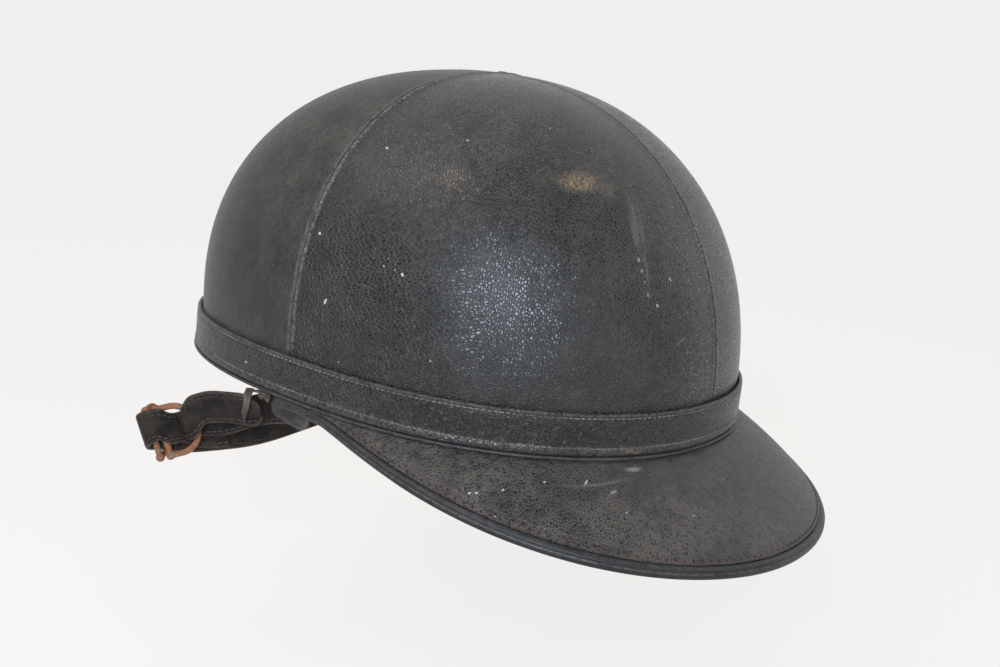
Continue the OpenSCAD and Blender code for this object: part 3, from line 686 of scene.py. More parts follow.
def laid_flat(points, at):
    """Each point of the dome's cloth as it would lie on a table, in metres, spread from the direction at."""
    out = unit(np.array(at, float))
    across = unit(np.cross([0, 0, 1.0], out))
    up = np.cross(out, across)
    d = unit(points - DOME_MIDDLE)
    flat = np.stack([d @ across, d @ up], -1)
    turn = np.arccos(np.clip(d @ out, -1, 1))
    spread = LAID_RADIUS * turn / np.maximum(np.linalg.norm(flat, axis=-1), 1e-4)
    return np.concatenate([flat * spread[..., None], 0 * spread[..., None]], -1)


# Angles from a seam and heights at which a panel has points
EDGE_A = np.array([0, 0.08, 0.16, 0.25, 0.36, 0.48, 0.62, 0.78, 1.0, 1.3, 1.7, 2.3, 3.0])
COVER_H = np.concatenate([np.linspace(-1, -0.12, 5), [-0.05], np.linspace(0, 0.97, 96), [0.985, 0.995]])


def cover_panel(name, a0, a1, lift0, lift1, push, material):
    """A panel from angle a0 to a1, with the lift of the seam at each, pushed a little into the seams' place."""
    inside = np.linspace(a0 + 3, a1 - 3, 64)[1:-1]
    a = np.concatenate([a0 + EDGE_A, inside, (a1 - EDGE_A)[::-1]])
    h = COVER_H[:, None]
    base = crown_pt(a, 0, h)
    d0, d1 = (np.linalg.norm(base - crown_pt(seam, 0, h), axis=-1) for seam in (a0, a1))
    nearest, z = np.minimum(d0, d1), base[..., 2]
    free = ease(z, BAND_H - 0.3, BAND_H + 2.5)
    lift = (seam_profile(d0, lift0) + seam_profile(d1, lift1)) * free
    sag = SAG * ripple(a, SAG_SEED)[None, :] * ease(z, *SAG_STARTS) * (1 - ease(z, *SAG_ENDS))
    outer = crown_pt(a, lift + sag * ease(nearest, 2, 12), h)
    inner = crown_pt(a[::-5], -CLOTH_T, h)
    points = np.concatenate([outer, inner], 1) + push
    rubbed = bell(nearest, RIDGE_AT, 0.7) * free * np.sqrt(np.where(d0 < d1, lift0, lift1) / 0.4) * 1.6
    none = np.zeros(inner.shape[:2])
    middle = crown_pt((a0 + a1) / 2, 0, 0.45) - DOME_MIDDLE
    # The mask shaded lays painted shade into the seam grooves.
    masks = {"rubbed": np.concatenate([rubbed, none], 1), "laid_flat": laid_flat(points, middle),
             "shaded": np.concatenate([bell(nearest, 0, 0.3), none], 1)}
    panel = piece(name, [closed(points)], material, [name], masks)


plain = leathercloth("unmarked_leathercloth", *CROWN_CLOTH, laid=True)
front_right = crown_pt(np.linspace(-SIDE_SEAM_A, 0, 60), 0, np.linspace(-1, 0.99, 80)[:, None])
crown_tree = surface_tree(front_right, grid_faces(80, 60))
# Marks: the two pixels of the photograph at their ends, half width in millimetres, softness and strength
TAN_MARKS = [
    (551, 182, 606, 184, 7.2, 0.75, 0.95), (432, 180, 476, 176, 9.0, 1.0, 0.3), (592, 178, 622, 200, 6.0, 1.0, 0.35),
    (566, 166, 606, 196, 11.0, 1.0, 0.3), (610, 150, 650, 300, 7.0, 1.0, 0.16), (585, 240, 640, 300, 14.0, 1.0, 0.12),
]
PALE_MARKS = [
    (386, 147, 388, 149, 0.6, 0.4, 0.9), (324, 305, 327, 298, 0.7, 0.4, 1.0), (319, 232, 321, 235, 0.6, 0.4, 0.9),
    (401, 273, 404, 277, 0.7, 0.4, 0.8), (383, 265, 385, 267, 0.4, 0.4, 0.6), (466, 140, 469, 141, 0.5, 0.4, 0.7),
    (656, 304, 658, 308, 0.6, 0.4, 0.7), (388, 258, 389, 259, 0.4, 0.4, 0.6), (395, 269, 396, 271, 0.4, 0.4, 0.7),
    (430, 360, 431, 362, 0.5, 0.4, 0.8), (338, 361, 339, 363, 0.5, 0.4, 0.6), (548, 128, 551, 129, 0.5, 0.4, 0.5),
    # The long soft marks from x 627 to 650 are a scuffed streak, and the small strong marks on it are painted glints.
    (627, 192, 640, 247, 1.6, 1.0, 0.1), (636, 205, 646, 262, 1.3, 1.0, 0.1), (641, 240, 650, 303, 1.2, 1.0, 0.1),
    (628, 205, 640, 260, 3.2, 1.0, 0.1), (672, 349, 689, 333, 0.4, 0.9, 0.2), (352, 282, 378, 290, 0.4, 1.0, 0.12),
    (638, 257, 639, 263, 0.9, 0.8, 0.5), (641, 268, 642, 274, 0.8, 0.8, 0.4), (520, 185, 556, 160, 0.5, 1.0, 0.07),
    (470, 160, 500, 142, 0.4, 1.0, 0.08), (644, 280, 645, 284, 0.6, 0.8, 0.35), (647, 291, 648, 299, 0.8, 0.8, 0.35),
    (560, 400, 600, 384, 0.4, 1.0, 0.07), (668, 277, 671, 282, 0.7, 0.5, 0.5),
]
# Patches that leave the dust out, painted shade that darkens the crown there
SHADE_PATCH_MARKS = [
    (520, 128, 610, 150, 17.0, 1.0, 0.9), (668, 200, 700, 330, 13.0, 1.0, 0.8), (390, 150, 410, 130, 12.0, 1.0, 0.6),
    (480, 226, 560, 222, 12.0, 1.0, 0.7), (330, 180, 350, 230, 10.0, 1.0, 0.5),
]
WRINKLED_AT, WRINKLED_REACH = pixel_point(crown_tree, 365, 330), 0.075
marked = leathercloth("front_right_leathercloth", *CROWN_CLOTH, dull=marks_at(crown_tree, TAN_MARKS),
                      pale=marks_at(crown_tree, PALE_MARKS), shade_patches=marks_at(crown_tree, SHADE_PATCH_MARKS),
                      wrinkled=(tuple(WRINKLED_AT), WRINKLED_REACH), laid=True)
rear = leathercloth("rear_leathercloth", *REAR_CLOTH, laid=True)
SEAM_LIFT, FLAT_LIFT, CENTRE_LIFT, PUSH = 0.62, 0.12, 0.2, 0.12
for name, a0, a1, lift0, lift1, x, y, material in (
        ("cover_front_right", -SIDE_SEAM_A, 0, SEAM_LIFT, CENTRE_LIFT, -PUSH, -PUSH, marked),
        ("cover_front_left", 0, SIDE_SEAM_A, CENTRE_LIFT, SEAM_LIFT, PUSH, -PUSH, plain),
        ("cover_rear_left", SIDE_SEAM_A, 180, FLAT_LIFT, CENTRE_LIFT, PUSH, PUSH, rear),
        ("cover_rear_right", 180, 360 - SIDE_SEAM_A, CENTRE_LIFT, FLAT_LIFT, -PUSH, PUSH, rear)):
    cover_panel(name, a0, a1, lift0, lift1, (x, y, 0), material)


def seam_stitches(name, seams, gap, off, top_h, size, material, seed):
    """Stitches on the crown at a gap beside seams, each given by its angle and the side to which they lie."""
    h, threads = np.linspace(0.0, top_h, 90), []
    for seam_a, side in seams:
        per_degree = np.linalg.norm(crown_pt(seam_a + 1, 0, h) - crown_pt(seam_a, 0, h), axis=-1)
        a = seam_a + side * gap / np.maximum(per_degree, 0.05)
        n = unit(np.cross(crown_pt(a + 0.4, 0, h) - crown_pt(a - 0.4, 0, h),
                          crown_pt(a, 0, h + 0.004) - crown_pt(a, 0, h - 0.004)))
        threads.append(stitches(crown_pt(a, off, h), n * np.sign(n[..., 2:] + 0.2), size, seed=seed))
    piece(name, threads, material)


seam_stitches("side_seam_stitches", ((-SIDE_SEAM_A, 1), (SIDE_SEAM_A, -1)), gap=2.3, off=0.12, top_h=0.93,
              size=SEAM_STITCH, material=TAN_THREAD, seed=11)
seam_stitches("centre_seam_stitches", ((0, 1), (180, 1)), gap=0.0, off=-0.42, top_h=0.96,
              size=CENTRE_STITCH, material=BROWN_THREAD, seed=12)


# Button of cloth where the four seams meet, as rings of a radius and a height
BUTTON = ((2.3, -0.6), (2.5, 0.0), (2.2, 0.45), (1.4, 0.8), (0.5, 0.9))
t = circle(28)
wobble = 1 + 0.1 * np.sin(4 * t)
button = np.array([np.stack([r * wobble * np.cos(t), APEX_BACK - WIDEST_AHEAD + r * wobble * np.sin(t),
                             CROWN_H + z + 0 * t], -1) for r, z in BUTTON])
piece("apex_button", [closed(button)], plain, masks={"laid_flat": button * MM})


# Hat band and binding

RIM_A = np.linspace(0, 360, 300, endpoint=False)
BAND_SECTION = [
    (0.6, 0.0), (0.6, 9.0), (0.6, 16.9), (0.9, 17.35), (1.5, 17.55), (2.05, 17.45), (2.35, 17.1), (2.45, 16.6),
    (2.28, 16.1), (2.2, 15.75), (2.3, 15.3), (2.55, 14.6), (2.62, 12.5), (2.58, 9.5), (2.62, 6.5), (2.72, 4.4),
    (2.6, 3.7), (2.5, 3.3), (2.62, 2.9), (2.9, 2.3), (3.0, 1.5), (2.9, 0.7), (2.6, 0.2), (2.0, 0.0),
]
BAND_RUB = [0, 0, 0, .2, .4, .5, .6, .3, .2, 0, 0, 0, 0, 0, 0, .1, .8, .4, .7, .3, .3, .3, .1, 0]
BAND_WAVE, BAND_SEED = 0.1, 5
# Offset, height and seed of each row of stitches
BAND_ROWS = ((2.3, 15.75, 1), (2.6, 3.3, 2))
BAND_MARKS = [(622, 452, 644, 452, 1.2, 0.8, 0.55), (600, 452, 700, 448, 0.8, 0.9, 0.35)]
BAND_FLECKS = [(245, 361, 247, 363, 0.6, 0.4, 0.9), (448, 377, 449, 378, 0.4, 0.4, 0.6)]


def rim_strip(section, wave, seed):
    """A section of (offset, height) carried round the rim, with a slow waviness."""
    s = np.array(section, float)
    return rim_pt(RIM_A[:, None], s[None, :, 0] + wave * ripple(RIM_A, seed)[:, None], s[None, :, 1])


band = rim_strip(BAND_SECTION, BAND_WAVE, BAND_SEED)
band_faces = tube_faces(*band.shape[:2], ring=True)
band_tree = surface_tree(band, band_faces)
band_cloth = leathercloth("band_leathercloth", *BAND_CLOTH, dull=marks_at(band_tree, BAND_MARKS),
                          pale=marks_at(band_tree, BAND_FLECKS))
piece("hat_band", [(band, band_faces)], band_cloth, ["hat_band"],
      {"rubbed": np.tile(BAND_RUB, len(RIM_A))})
rim_out = unit(rim_pt(RIM_A, 1.0, 10.0) - rim_pt(RIM_A, 0.0, 10.0))
band_wave = BAND_WAVE * ripple(RIM_A, BAND_SEED)
piece("band_stitches", [stitches(rim_pt(RIM_A, off + band_wave, z), rim_out, BAND_STITCH, ring=True, seed=seed)
                        for off, z, seed in BAND_ROWS], TAN_THREAD)

BIND_IN = SHELL_IN - FIT - 1.4
BINDING_SECTION = [
    (BIND_IN, -1.3), (BIND_IN, BIND_H - 0.5), (BIND_IN + 0.4, BIND_H), (SHELL_IN - FIT - 0.2, BIND_H),
    (SHELL_IN - FIT, BIND_H - 0.3), (SHELL_IN - FIT, -FIT), (0.0, -FIT), (2.5, -FIT), (2.9, -0.42),
    (3.08, -0.75), (3.12, -1.05), (3.0, -1.4), (2.7, -1.64), (2.3, BIND_Z), (-1.0, BIND_Z), (-4.5, BIND_Z),
    (BIND_IN + 0.4, BIND_Z),
]
BIND_RUB = [0, 0, 0, 0, 0, 0, 0, .1, .3, .45, .5, .4, .2, 0, 0, 0, 0]
binding = rim_strip(BINDING_SECTION, wave=0.06, seed=2)
binding_cloth = leathercloth("binding_leathercloth", *EDGE_CLOTH)
piece("rim_binding", [closed(binding, ring=True)], binding_cloth, ["rim_binding"],
      {"rubbed": np.tile(BIND_RUB, len(RIM_A))})


# Peak

SHEET_END_A, ROLL_END_A = 0.915 * PEAK_END_A, 0.97 * PEAK_END_A
PEAK_TUCK, CREASE_GAP, STITCH_GAP, PEAK_SLACK = 4, 4.3, 1.2, 0.14
# The reach under which the rolled edge thins out, how deep the covers go into it, and the top cover's finer grain
ROLL_FADE, ROLL_BITE, PEAK_GRAIN = 4 * ROLL_W, 0.12, 1.15
TOP_LOW, TOP_HIGH = BOARD_T / 2 + PEAK_PLY, PEAK_HALF_T
# Shares of the flange and of the slope at which a cover has points
FLANGE_AT = np.array([[0.0, 0.35, 0.7, 0.92]])
SLOPE_AT = np.concatenate([np.linspace(0.06, 0.7, 14), np.linspace(0.74, 1, 14)])[None, :]


def roll_half(a):
    """Half width and half thickness of the rolled edge, which thins out towards its ends."""
    f = np.minimum(peak_reach(a) / ROLL_FADE, 1)
    return PEAK_HALF_T + (ROLL_W / 2 - PEAK_HALF_T) * f, PEAK_HALF_T + (ROLL_T / 2 - PEAK_HALF_T) * f


def sheet_reach(a):
    return np.maximum(peak_reach(a) - ROLL_W / 2 - roll_half(a)[0] + ROLL_BITE, 0.05)


def peak_row(a, h, share):
    """The flange's points under the rim at height h, and the distances down the slope for the shares of it."""
    bend = -h * np.tan(peak_droop(a) / 2)
    w = bend + (np.maximum(sheet_reach(a), bend + 0.05) - bend) * share
    inward = (PEAK_ROOT_OFF - PEAK_TUCK) + PEAK_TUCK * FLANGE_AT
    flange = crown_pt(a, inward, -1) + np.array([0, 0, PEAK_ROOT_Z]) + np.stack(
        np.broadcast_arrays(0 * inward * a, 0 * inward * a, h), -1)
    return flange, w


def peak_sheet(out_h, in_h, side):
    """Loops across a cover of the peak, with its outer face first, and how much each point is rubbed."""
    a = np.linspace(-SHEET_END_A, SHEET_END_A, 200)[:, None]
    flange, w = peak_row(a, out_h, SLOPE_AT)
    gap = sheet_reach(a) - w
    slack = PEAK_SLACK * ripple(a * 1.3, 6) * np.sin(np.pi * SLOPE_AT)
    line = bell(gap, CREASE_GAP, 0.45) * ease(-a, 18, 40) * (1 - ease(-a, 66, 80))
    face = peak_pt(a, w, out_h + side * (slack * 0.6 + 0.1 * line - 0.22 * bell(gap, STITCH_GAP, 0.55)))
    back_flange, back_w = peak_row(a, in_h, SLOPE_AT[:, ::3])
    back = peak_pt(a, back_w, in_h)
    loops = np.concatenate([flange, face, back[:, ::-1], back_flange[:, ::-1]], 1)
    rub = np.concatenate([0 * flange[..., 0], 0.55 * line + 0.25 * bell(gap, 0, 0.8),
                          0 * back[..., 0], 0 * back_flange[..., 0]], 1)
    return loops, rub


top_points, top_rub = peak_sheet(TOP_HIGH, TOP_LOW, 1)
under_points, under_rub = peak_sheet(-TOP_HIGH, -TOP_LOW, -1)
peak_tree = surface_tree(*closed(top_points))
PEAK_FLECKS = [
    (544, 481, 545, 483, 0.5, 0.4, 0.9), (585, 482, 587, 483, 0.6, 0.4, 0.9), (469, 492, 470, 494, 0.5, 0.4, 0.8),
    (476, 492, 477, 494, 0.5, 0.4, 0.8), (502, 489, 504, 491, 0.4, 0.4, 0.6), (545, 484, 640, 472, 0.3, 0.9, 0.12),
    (494, 516, 495, 518, 0.5, 0.4, 0.8), (622, 470, 644, 468, 0.4, 0.9, 0.35), (609, 494, 618, 490, 0.3, 0.8, 0.3),
    (626, 512, 627, 513, 0.4, 0.4, 0.6), (693, 515, 694, 516, 0.4, 0.4, 0.5), (723, 478, 724, 479, 0.4, 0.4, 0.5),
]
peak_cloth = leathercloth("peak_leathercloth", *PEAK_CLOTH, pale=marks_at(peak_tree, PEAK_FLECKS), laid=True)
under_cloth = leathercloth("peak_under_leathercloth", *EDGE_CLOTH)
for name, points, material, masks in (
        ("peak_top_cover", top_points, peak_cloth, {"rubbed": top_rub, "laid_flat": top_points * (PEAK_GRAIN * MM)}),
        ("peak_under_cover", under_points, under_cloth, {"rubbed": under_rub * 0.5})):
    cover = piece(name, [closed(points)], material, [name], masks)


def rolled_edge():
    """The rolled edge with two grooves along it, and how much each point is rubbed; angles start on its inner side."""
    a = np.linspace(-ROLL_END_A, ROLL_END_A, 230)[:, None]
    around = np.linspace(0, 360, 48, endpoint=False)[None, :]
    t = np.radians(around)
    reach = peak_reach(a)
    rw, rt = roll_half(a)
    w = np.maximum(reach - ROLL_W / 2, 0)
    groove = (0.16 * bell(around, 112, 9) + 0.1 * bell(around, 205, 9)) * np.minimum(reach / ROLL_FADE, 1)
    size = 1 - groove + 0.02 * ripple(a * 2.0, 4)
    rub = (0.6 * bell(around, 129, 9) + 0.25 * bell(around, 70, 25)) * np.ones_like(a)
    return peak_pt(a, w - rw * np.cos(t) * size, rt * np.sin(t) * size), rub


roll_points, roll_rub = rolled_edge()
piping = leathercloth("piping_leathercloth", *EDGE_CLOTH)
piece("peak_rolled_edge", [closed(roll_points)], piping, ["peak_rolled_edge"],
      {"rubbed": roll_rub})

peak_a = np.linspace(-SHEET_END_A + 3, SHEET_END_A - 3, 260)
peak_w = sheet_reach(peak_a) - STITCH_GAP
above = unit(peak_pt(peak_a, peak_w, 3.0) - peak_pt(peak_a, peak_w, 0.0))
peak_threads = [
    stitches(peak_pt(peak_a, peak_w, TOP_HIGH - 0.08), above, PEAK_STITCH, seed=21),
    stitches(peak_pt(peak_a, peak_w, -TOP_HIGH + 0.1), -above, PEAK_UNDER_STITCH, seed=22),
]
piece("peak_stitches", peak_threads, BROWN_THREAD)


def needle_holes(path, out, pitch):
    """Dark dots between the stitches, half a stitch along from their middles: painted shade of the needle holes."""
    run = run_along(path)
    count = max(int(run[-1] / pitch), 1)
    at = np.arange(1, count) * run[-1] / count
    parts = []
    for p, n in zip(on_run(run, path, at), unit(on_run(run, out, at))):
        half = 0.5 * np.cross(n, [0, 0, 1])
        parts.append(stitches([p - half, p + half], [n, n], NEEDLE_HOLE))
    return parts


# Near-black dots, painted shade of the needle holes
HOLE_SHADE = thread("needle_hole", (0.006, 0.005, 0.0045))
hole_line = peak_pt(peak_a, peak_w - 0.35, TOP_HIGH - 0.28)
piece("peak_needle_holes", needle_holes(hole_line, above, PEAK_STITCH[0]), HOLE_SHADE)


# Lining

FRONT_N, REAR_N = 13, 11
STAVE_I = [0, 5, 10, 16, 20, 24, 28, 32, 38, 43, 48]
SIDE_STAVES = (2, 7)
STAVE_LOW, POCKET_LOW = BIND_H + 1, 24
STAVE_TOP_H, DISC_H, DISC_TOP_H = 0.5, 0.6, 0.997
STAVE_GAP_A, STAVE_ROWS, DISC_ROWS, CORK_BEVEL = 0.35, 22, 26, 0.5


def cork_loops(a, out_h, in_h):
    """Closed loops through a cork block at angles a, over the h of its outer and of its inner face."""
    rows = ((CORK_OUT - CORK_BEVEL, out_h[:1]), (CORK_OUT, out_h[1:-1]), (CORK_OUT - CORK_BEVEL, out_h[-1:]),
            (CORK_IN + CORK_BEVEL, in_h[-1:]), (CORK_IN, in_h[1:-1][::-1]), (CORK_IN + CORK_BEVEL, in_h[:1]))
    return np.array([np.vstack([crown_pt(angle, off, h) for off, h in rows]) for angle in a])


def grid_a(i):
    """The angle of step i: FRONT_N even steps from the brow to each side seam and REAR_N from there to the nape."""
    whole = 2 * (FRONT_N + REAR_N)
    if i > whole / 2:
        return 360 - grid_a(whole - i)
    return SIDE_SEAM_A * i / FRONT_N if i <= FRONT_N else SIDE_SEAM_A + (180 - SIDE_SEAM_A) * (i - FRONT_N) / REAR_N


staves = []
for k, (i0, i1) in enumerate(zip(STAVE_I, STAVE_I[1:])):
    a = np.linspace(grid_a(i0) + STAVE_GAP_A, grid_a(i1) - STAVE_GAP_A, 24)
    a = np.concatenate([a[:1], a[:1] + 0.3, a[1:-1], a[-1:] - 0.3, a[-1:]])
    low = POCKET_LOW if k in SIDE_STAVES else STAVE_LOW
    staves.append(closed(cork_loops(a, *(np.linspace(float(height_of(low, off)), STAVE_TOP_H, STAVE_ROWS)
                                         for off in (CORK_OUT, CORK_IN)))))
piece("cork_staves", staves, CORK, ["cork_staves"])

disc_h = np.linspace(DISC_H, DISC_TOP_H, DISC_ROWS)
piece("crown_cork", [closed(cork_loops(RIM_A[::3], disc_h, disc_h), ring=True)], CORK, ["crown_cork"])

FELT_SECTION = [
    (FELT_IN + 0.3, -0.2), (FELT_IN, 1.5), (FELT_IN, 12), (FELT_IN, 24), (FELT_IN, SWEAT_TOP - 4),
    (FELT_IN + 0.5, SWEAT_TOP - 2.7), (FELT_IN + 2, SWEAT_TOP - 2.05), (FELT_OUT - 2, SWEAT_TOP - 2.05),
    (FELT_OUT - 0.5, SWEAT_TOP - 2.7), (FELT_OUT - 0.1, SWEAT_TOP - 4), (FELT_OUT - 0.1, 24), (FELT_OUT - 0.1, 12),
    (FELT_OUT - 0.1, 1.5), (FELT_OUT - 0.5, -0.8), (FELT_OUT - 2, -1.9), (FELT_IN + 2, -1.9), (FELT_IN + 0.8, -1.2),
]
piece("felt_band", [closed(rim_strip(FELT_SECTION, wave=0.05, seed=8), ring=True)], FELT, ["felt_band"])

SWEAT_MID, SWEAT_LOW = (SWEAT_OUT + SWEAT_IN) / 2, -SWEAT_DROP


def sweatband():
    """Leather band with a rolled lower edge; its lower half stands off the felt in slow waves."""
    inner = [(SWEAT_IN, z) for z in np.linspace(SWEAT_LOW + 1.6, SWEAT_TOP - 0.7, 20)]
    outer = [(SWEAT_OUT, z) for z in np.linspace(SWEAT_TOP - 0.7, SWEAT_LOW + 1.6, 20)]
    top = [(SWEAT_IN + 0.35, SWEAT_TOP - 0.1), (SWEAT_OUT - 0.35, SWEAT_TOP - 0.1)]
    low = [(SWEAT_OUT + 0.25, SWEAT_LOW + 0.9), (SWEAT_OUT + 0.1, SWEAT_LOW + 0.3), (SWEAT_MID, SWEAT_LOW),
           (SWEAT_IN - 0.3, SWEAT_LOW + 0.3), (SWEAT_IN - 0.5, SWEAT_LOW + 1.0)]
    s = np.array(inner + top + outer + low)
    off, z = s[None, :, 0], s[None, :, 1]
    loose = ease(-z, -14, SWEAT_DROP)
    wave = ripple(RIM_A, 9)[:, None]
    off = off - (0.35 + 0.35 * wave) * loose * (off < SWEAT_MID + 0.4)
    rub = 0.9 * bell(z, SWEAT_LOW, 1.2) + 0.5 * bell(z, SWEAT_TOP, 0.9)
    return rim_pt(RIM_A[:, None], off, z + 0.5 * wave * loose), np.broadcast_to(rub, (len(RIM_A), s.shape[0]))


sweat, sweat_rub = sweatband()
piece("sweatband", [closed(sweat, ring=True)], SWEAT_LEATHER, ["sweatband"],
      {"rubbed": sweat_rub})
piece("sweatband_stitches", [
    stitches(rim_pt(RIM_A, SWEAT_IN - 0.02, SWEAT_TOP - down), -rim_out, SWEAT_STITCH, ring=True, seed=seed)
    for down, seed in ((3, 31), (12, 32))], TAN_THREAD)


# Cradle

TAPE_SAG, GATHERED, CORD_RIM = 1.4, 0.45, 0.3
CRADLE_OFF = SWEAT_IN - FIT - TAPE_T / 2 - TAPE_SAG
FOLD_R = CORD_D / 2 + 2 * FIT + TAPE_T / 2
TAPE_FOOT_Z = SWEAT_TOP - 14


def cradle_pt(a, s, z):
    """The point at height z whose distance from the cradle's middle line is the share s of that at its foot."""
    p = rim_pt(a, CRADLE_OFF, SWEAT_TOP)
    mid = APEX_BACK * 0.3 - WIDEST_AHEAD
    return np.array([p[0] * s, (p[1] - mid) * s + mid, z])


def cord_pt(a):
    return cradle_pt(a, CORD_RIM, SWEAT_TOP + CRADLE_H)


def cord_outward(a):
    t = cord_pt(a + 1) - cord_pt(a - 1)
    return unit(np.array([t[1], -t[0], 0]))


def cradle_arc(a, u):
    """The tape's line from the sweatband at u = 0 to the cord at u = 1."""
    top = math.acos(CORD_RIM)
    return cradle_pt(a, math.cos(u * top), SWEAT_TOP + (CRADLE_H - FOLD_R) * math.sin(u * top) / math.sin(top))


def tape(a):
    """A tape that rises from its foot at angle a, folds round the cord and is gathered there."""
    c, r = cord_pt(a), cord_outward(a)
    across = np.array([-r[1], r[0], 0])
    foot = rim_pt(a + 1, CRADLE_OFF, TAPE_FOOT_Z) - rim_pt(a - 1, CRADLE_OFF, TAPE_FOOT_Z)
    along = unit(foot) * np.sign(foot @ across)
    path = [rim_pt(a, CRADLE_OFF, TAPE_FOOT_Z), rim_pt(a, CRADLE_OFF, SWEAT_TOP - 4)]
    path += [cradle_arc(a, j / 9) for j in range(1, 9)]
    path += [c - FOLD_R * (r * math.sin(turn) + UP * math.cos(turn)) for turn in np.radians(40 * np.arange(7))]
    rows = smooth([row(p, unit(along + (across - along) * min(1, i / 8)),
                       1 + (GATHERED - 1) * min(1, max(0, (i - 4) / 5))) for i, p in enumerate(path)], 6)
    path, up, share = rows[:, :3], unit(rows[:, 3:6]), rows[:, 6]
    u = np.linspace(-1, 1, 17)
    gather = np.clip((1 - share) / (1 - GATHERED), 0, 1)
    ahead = unit(np.gradient(path, axis=0))
    out = unit(np.cross(up, ahead))
    half_t = TAPE_T / 2 * 0.8
    folds = 0.32 * np.cos(u * 3.4 * np.pi)[None, :] * gather[:, None]
    thick = half_t * np.sqrt(np.clip(1 - np.abs(u) ** 6, 0.05, 1))[None, :] * np.ones_like(folds)
    mid = path[:, None] + up[:, None] * (u[None, :, None] * (TAPE_W / 2 - 0.1) * share[:, None, None])
    face, back = (mid + out[:, None] * (folds * 0.5 + side * thick)[..., None] for side in (1, -1))
    return closed(np.concatenate([face, back[:, ::-1]], 1))


piece("cradle_tapes", [tape(360 * (k + 0.5) / TAPES) for k in range(TAPES)], WEBBING,
      ["cradle_tapes"])
CORD_TURNS, CORD_STRANDS, CORD_STEPS, STRAND_R, STRAND_OFF = 30, 3, 420, 0.66, 0.6


def drawn_cord():
    """Strands that turn round each other along the closed loop of the cord."""
    angles = np.linspace(0, 360, CORD_STEPS, endpoint=False)
    base, out = (np.array([place(a) for a in angles]) for place in (cord_pt, cord_outward))
    section = STRAND_R * np.stack([np.cos(circle(8)), np.sin(circle(8))], -1)
    parts = []
    for k in range(CORD_STRANDS):
        t = np.radians(angles * CORD_TURNS + 360 * k / CORD_STRANDS)[:, None]
        path = base + STRAND_OFF * (out * np.cos(t) + UP * np.sin(t))
        parts.append(closed(sweep(path, out, section, ring=True), ring=True))
    return parts


piece("cradle_cord", drawn_cord(), COTTON, ["cradle_cord"])


# Chin strap fixings

def half_width(y):
    """Half the crown's width at y, on the level of the pivots."""
    half_l = CROWN_L / 2 + WIDEST_AHEAD
    a = math.degrees(math.acos(-((y + WIDEST_AHEAD) / half_l) ** (NAPE_FULL / 2)))
    return rim_pt(a, 0, PIVOT_Z)[0]


RIVET_HEAD_R, HOLE_R = 4.6, RIVET_D / 2 + FIT
SPACER_R = RIVET_HEAD_R + 1.4
SHELL_SEAT = half_width(PIVOT_Y + SPACER_R) + SHELL_IN
TAB_FACE = SHELL_SEAT - 3.2
SPACER_T = SHELL_SEAT - TAB_FACE - 2 * FIT
STRAP_SEAT = TAB_FACE - TAB_T - FIT - STRAP_T / 2


def spacer(side):
    """A ring about the pivot of one side, from a closed profile of (radius, height outward)."""
    profile = [(HOLE_R, 0.2), (HOLE_R + 0.2, 0), (SPACER_R - 0.5, 0), (SPACER_R, 0.45), (SPACER_R, SPACER_T - 0.45),
               (SPACER_R - 0.5, SPACER_T), (HOLE_R + 0.2, SPACER_T), (HOLE_R, SPACER_T - 0.2)]
    return closed(np.array([[(side * (TAB_FACE + FIT + h), PIVOT_Y + r * math.cos(v), PIVOT_Z + r * math.sin(v))
                             for r, h in profile] for v in circle(40)]), ring=True)


piece("rivet_spacers", [spacer(-1), spacer(1)], SPACER_LEATHER, ["rivet_spacers"])
TAB_BACK, TAB_CORNER, TAB_LINE = TAB_W / 2 - 2, 5, 2.3


def tab_outline(theta, inset):
    """Distance from the pivot to the edge of the tab in direction theta."""
    dx, dy = math.cos(theta), math.sin(theta)
    ax, ay = abs(dx), abs(dy)
    end, half, r = (TAB_L if dx > 0 else TAB_BACK) - inset, TAB_W / 2 - inset, TAB_CORNER - inset
    reach = min(end / max(ax, 1e-6), half / max(ay, 1e-6))
    cx, cy = end - r, half - r
    if ax * reach > cx and ay * reach > cy:
        b = ax * cx + ay * cy
        reach = b + math.sqrt(max(b * b - (cx * cx + cy * cy - r * r), 0))
    return reach


def tab_point(side, x, y, t):
    """x along the tab from the pivot, y across it, t from its inner face outward."""
    lean = math.radians(TAB_LEAN)
    return (side * (TAB_FACE - TAB_T + t), PIVOT_Y + x * math.cos(lean) + y * math.sin(lean),
            PIVOT_Z - x * math.sin(lean) + y * math.cos(lean))


TAB_RUB = [0.3, 0.3, 0.3, 0, 0, 0, 0.5, 1, 0.6, 0.6, 1, 0.5, 0, 0, 0, 0.3]
TAB_SIDES, THREAD_SIDES = 120, 160


def tab(side):
    """A leather tab with rounded corners, a hole for the rivet and a groove for its thread on both faces."""
    rows = []
    for v in circle(TAB_SIDES):
        full, inner, *groove = (tab_outline(v, k) for k in (0, 0.6, TAB_LINE - 0.4, TAB_LINE, TAB_LINE + 0.4))
        profile = [(HOLE_R, 0.15), (HOLE_R, TAB_T - 0.15), (HOLE_R + 0.2, TAB_T), (groove[2], TAB_T),
                   (groove[1], TAB_T - 0.18), (groove[0], TAB_T), (inner, TAB_T), (full - 0.15, TAB_T - 0.3),
                   (full, TAB_T - 0.8), (full, 0.8), (full - 0.15, 0.3), (inner, 0), (groove[0], 0),
                   (groove[1], 0.18), (groove[2], 0), (HOLE_R + 0.2, 0)]
        rows.append([tab_point(side, r * math.cos(v), r * math.sin(v), t) for r, t in profile])
    return closed(np.array(rows), ring=True)


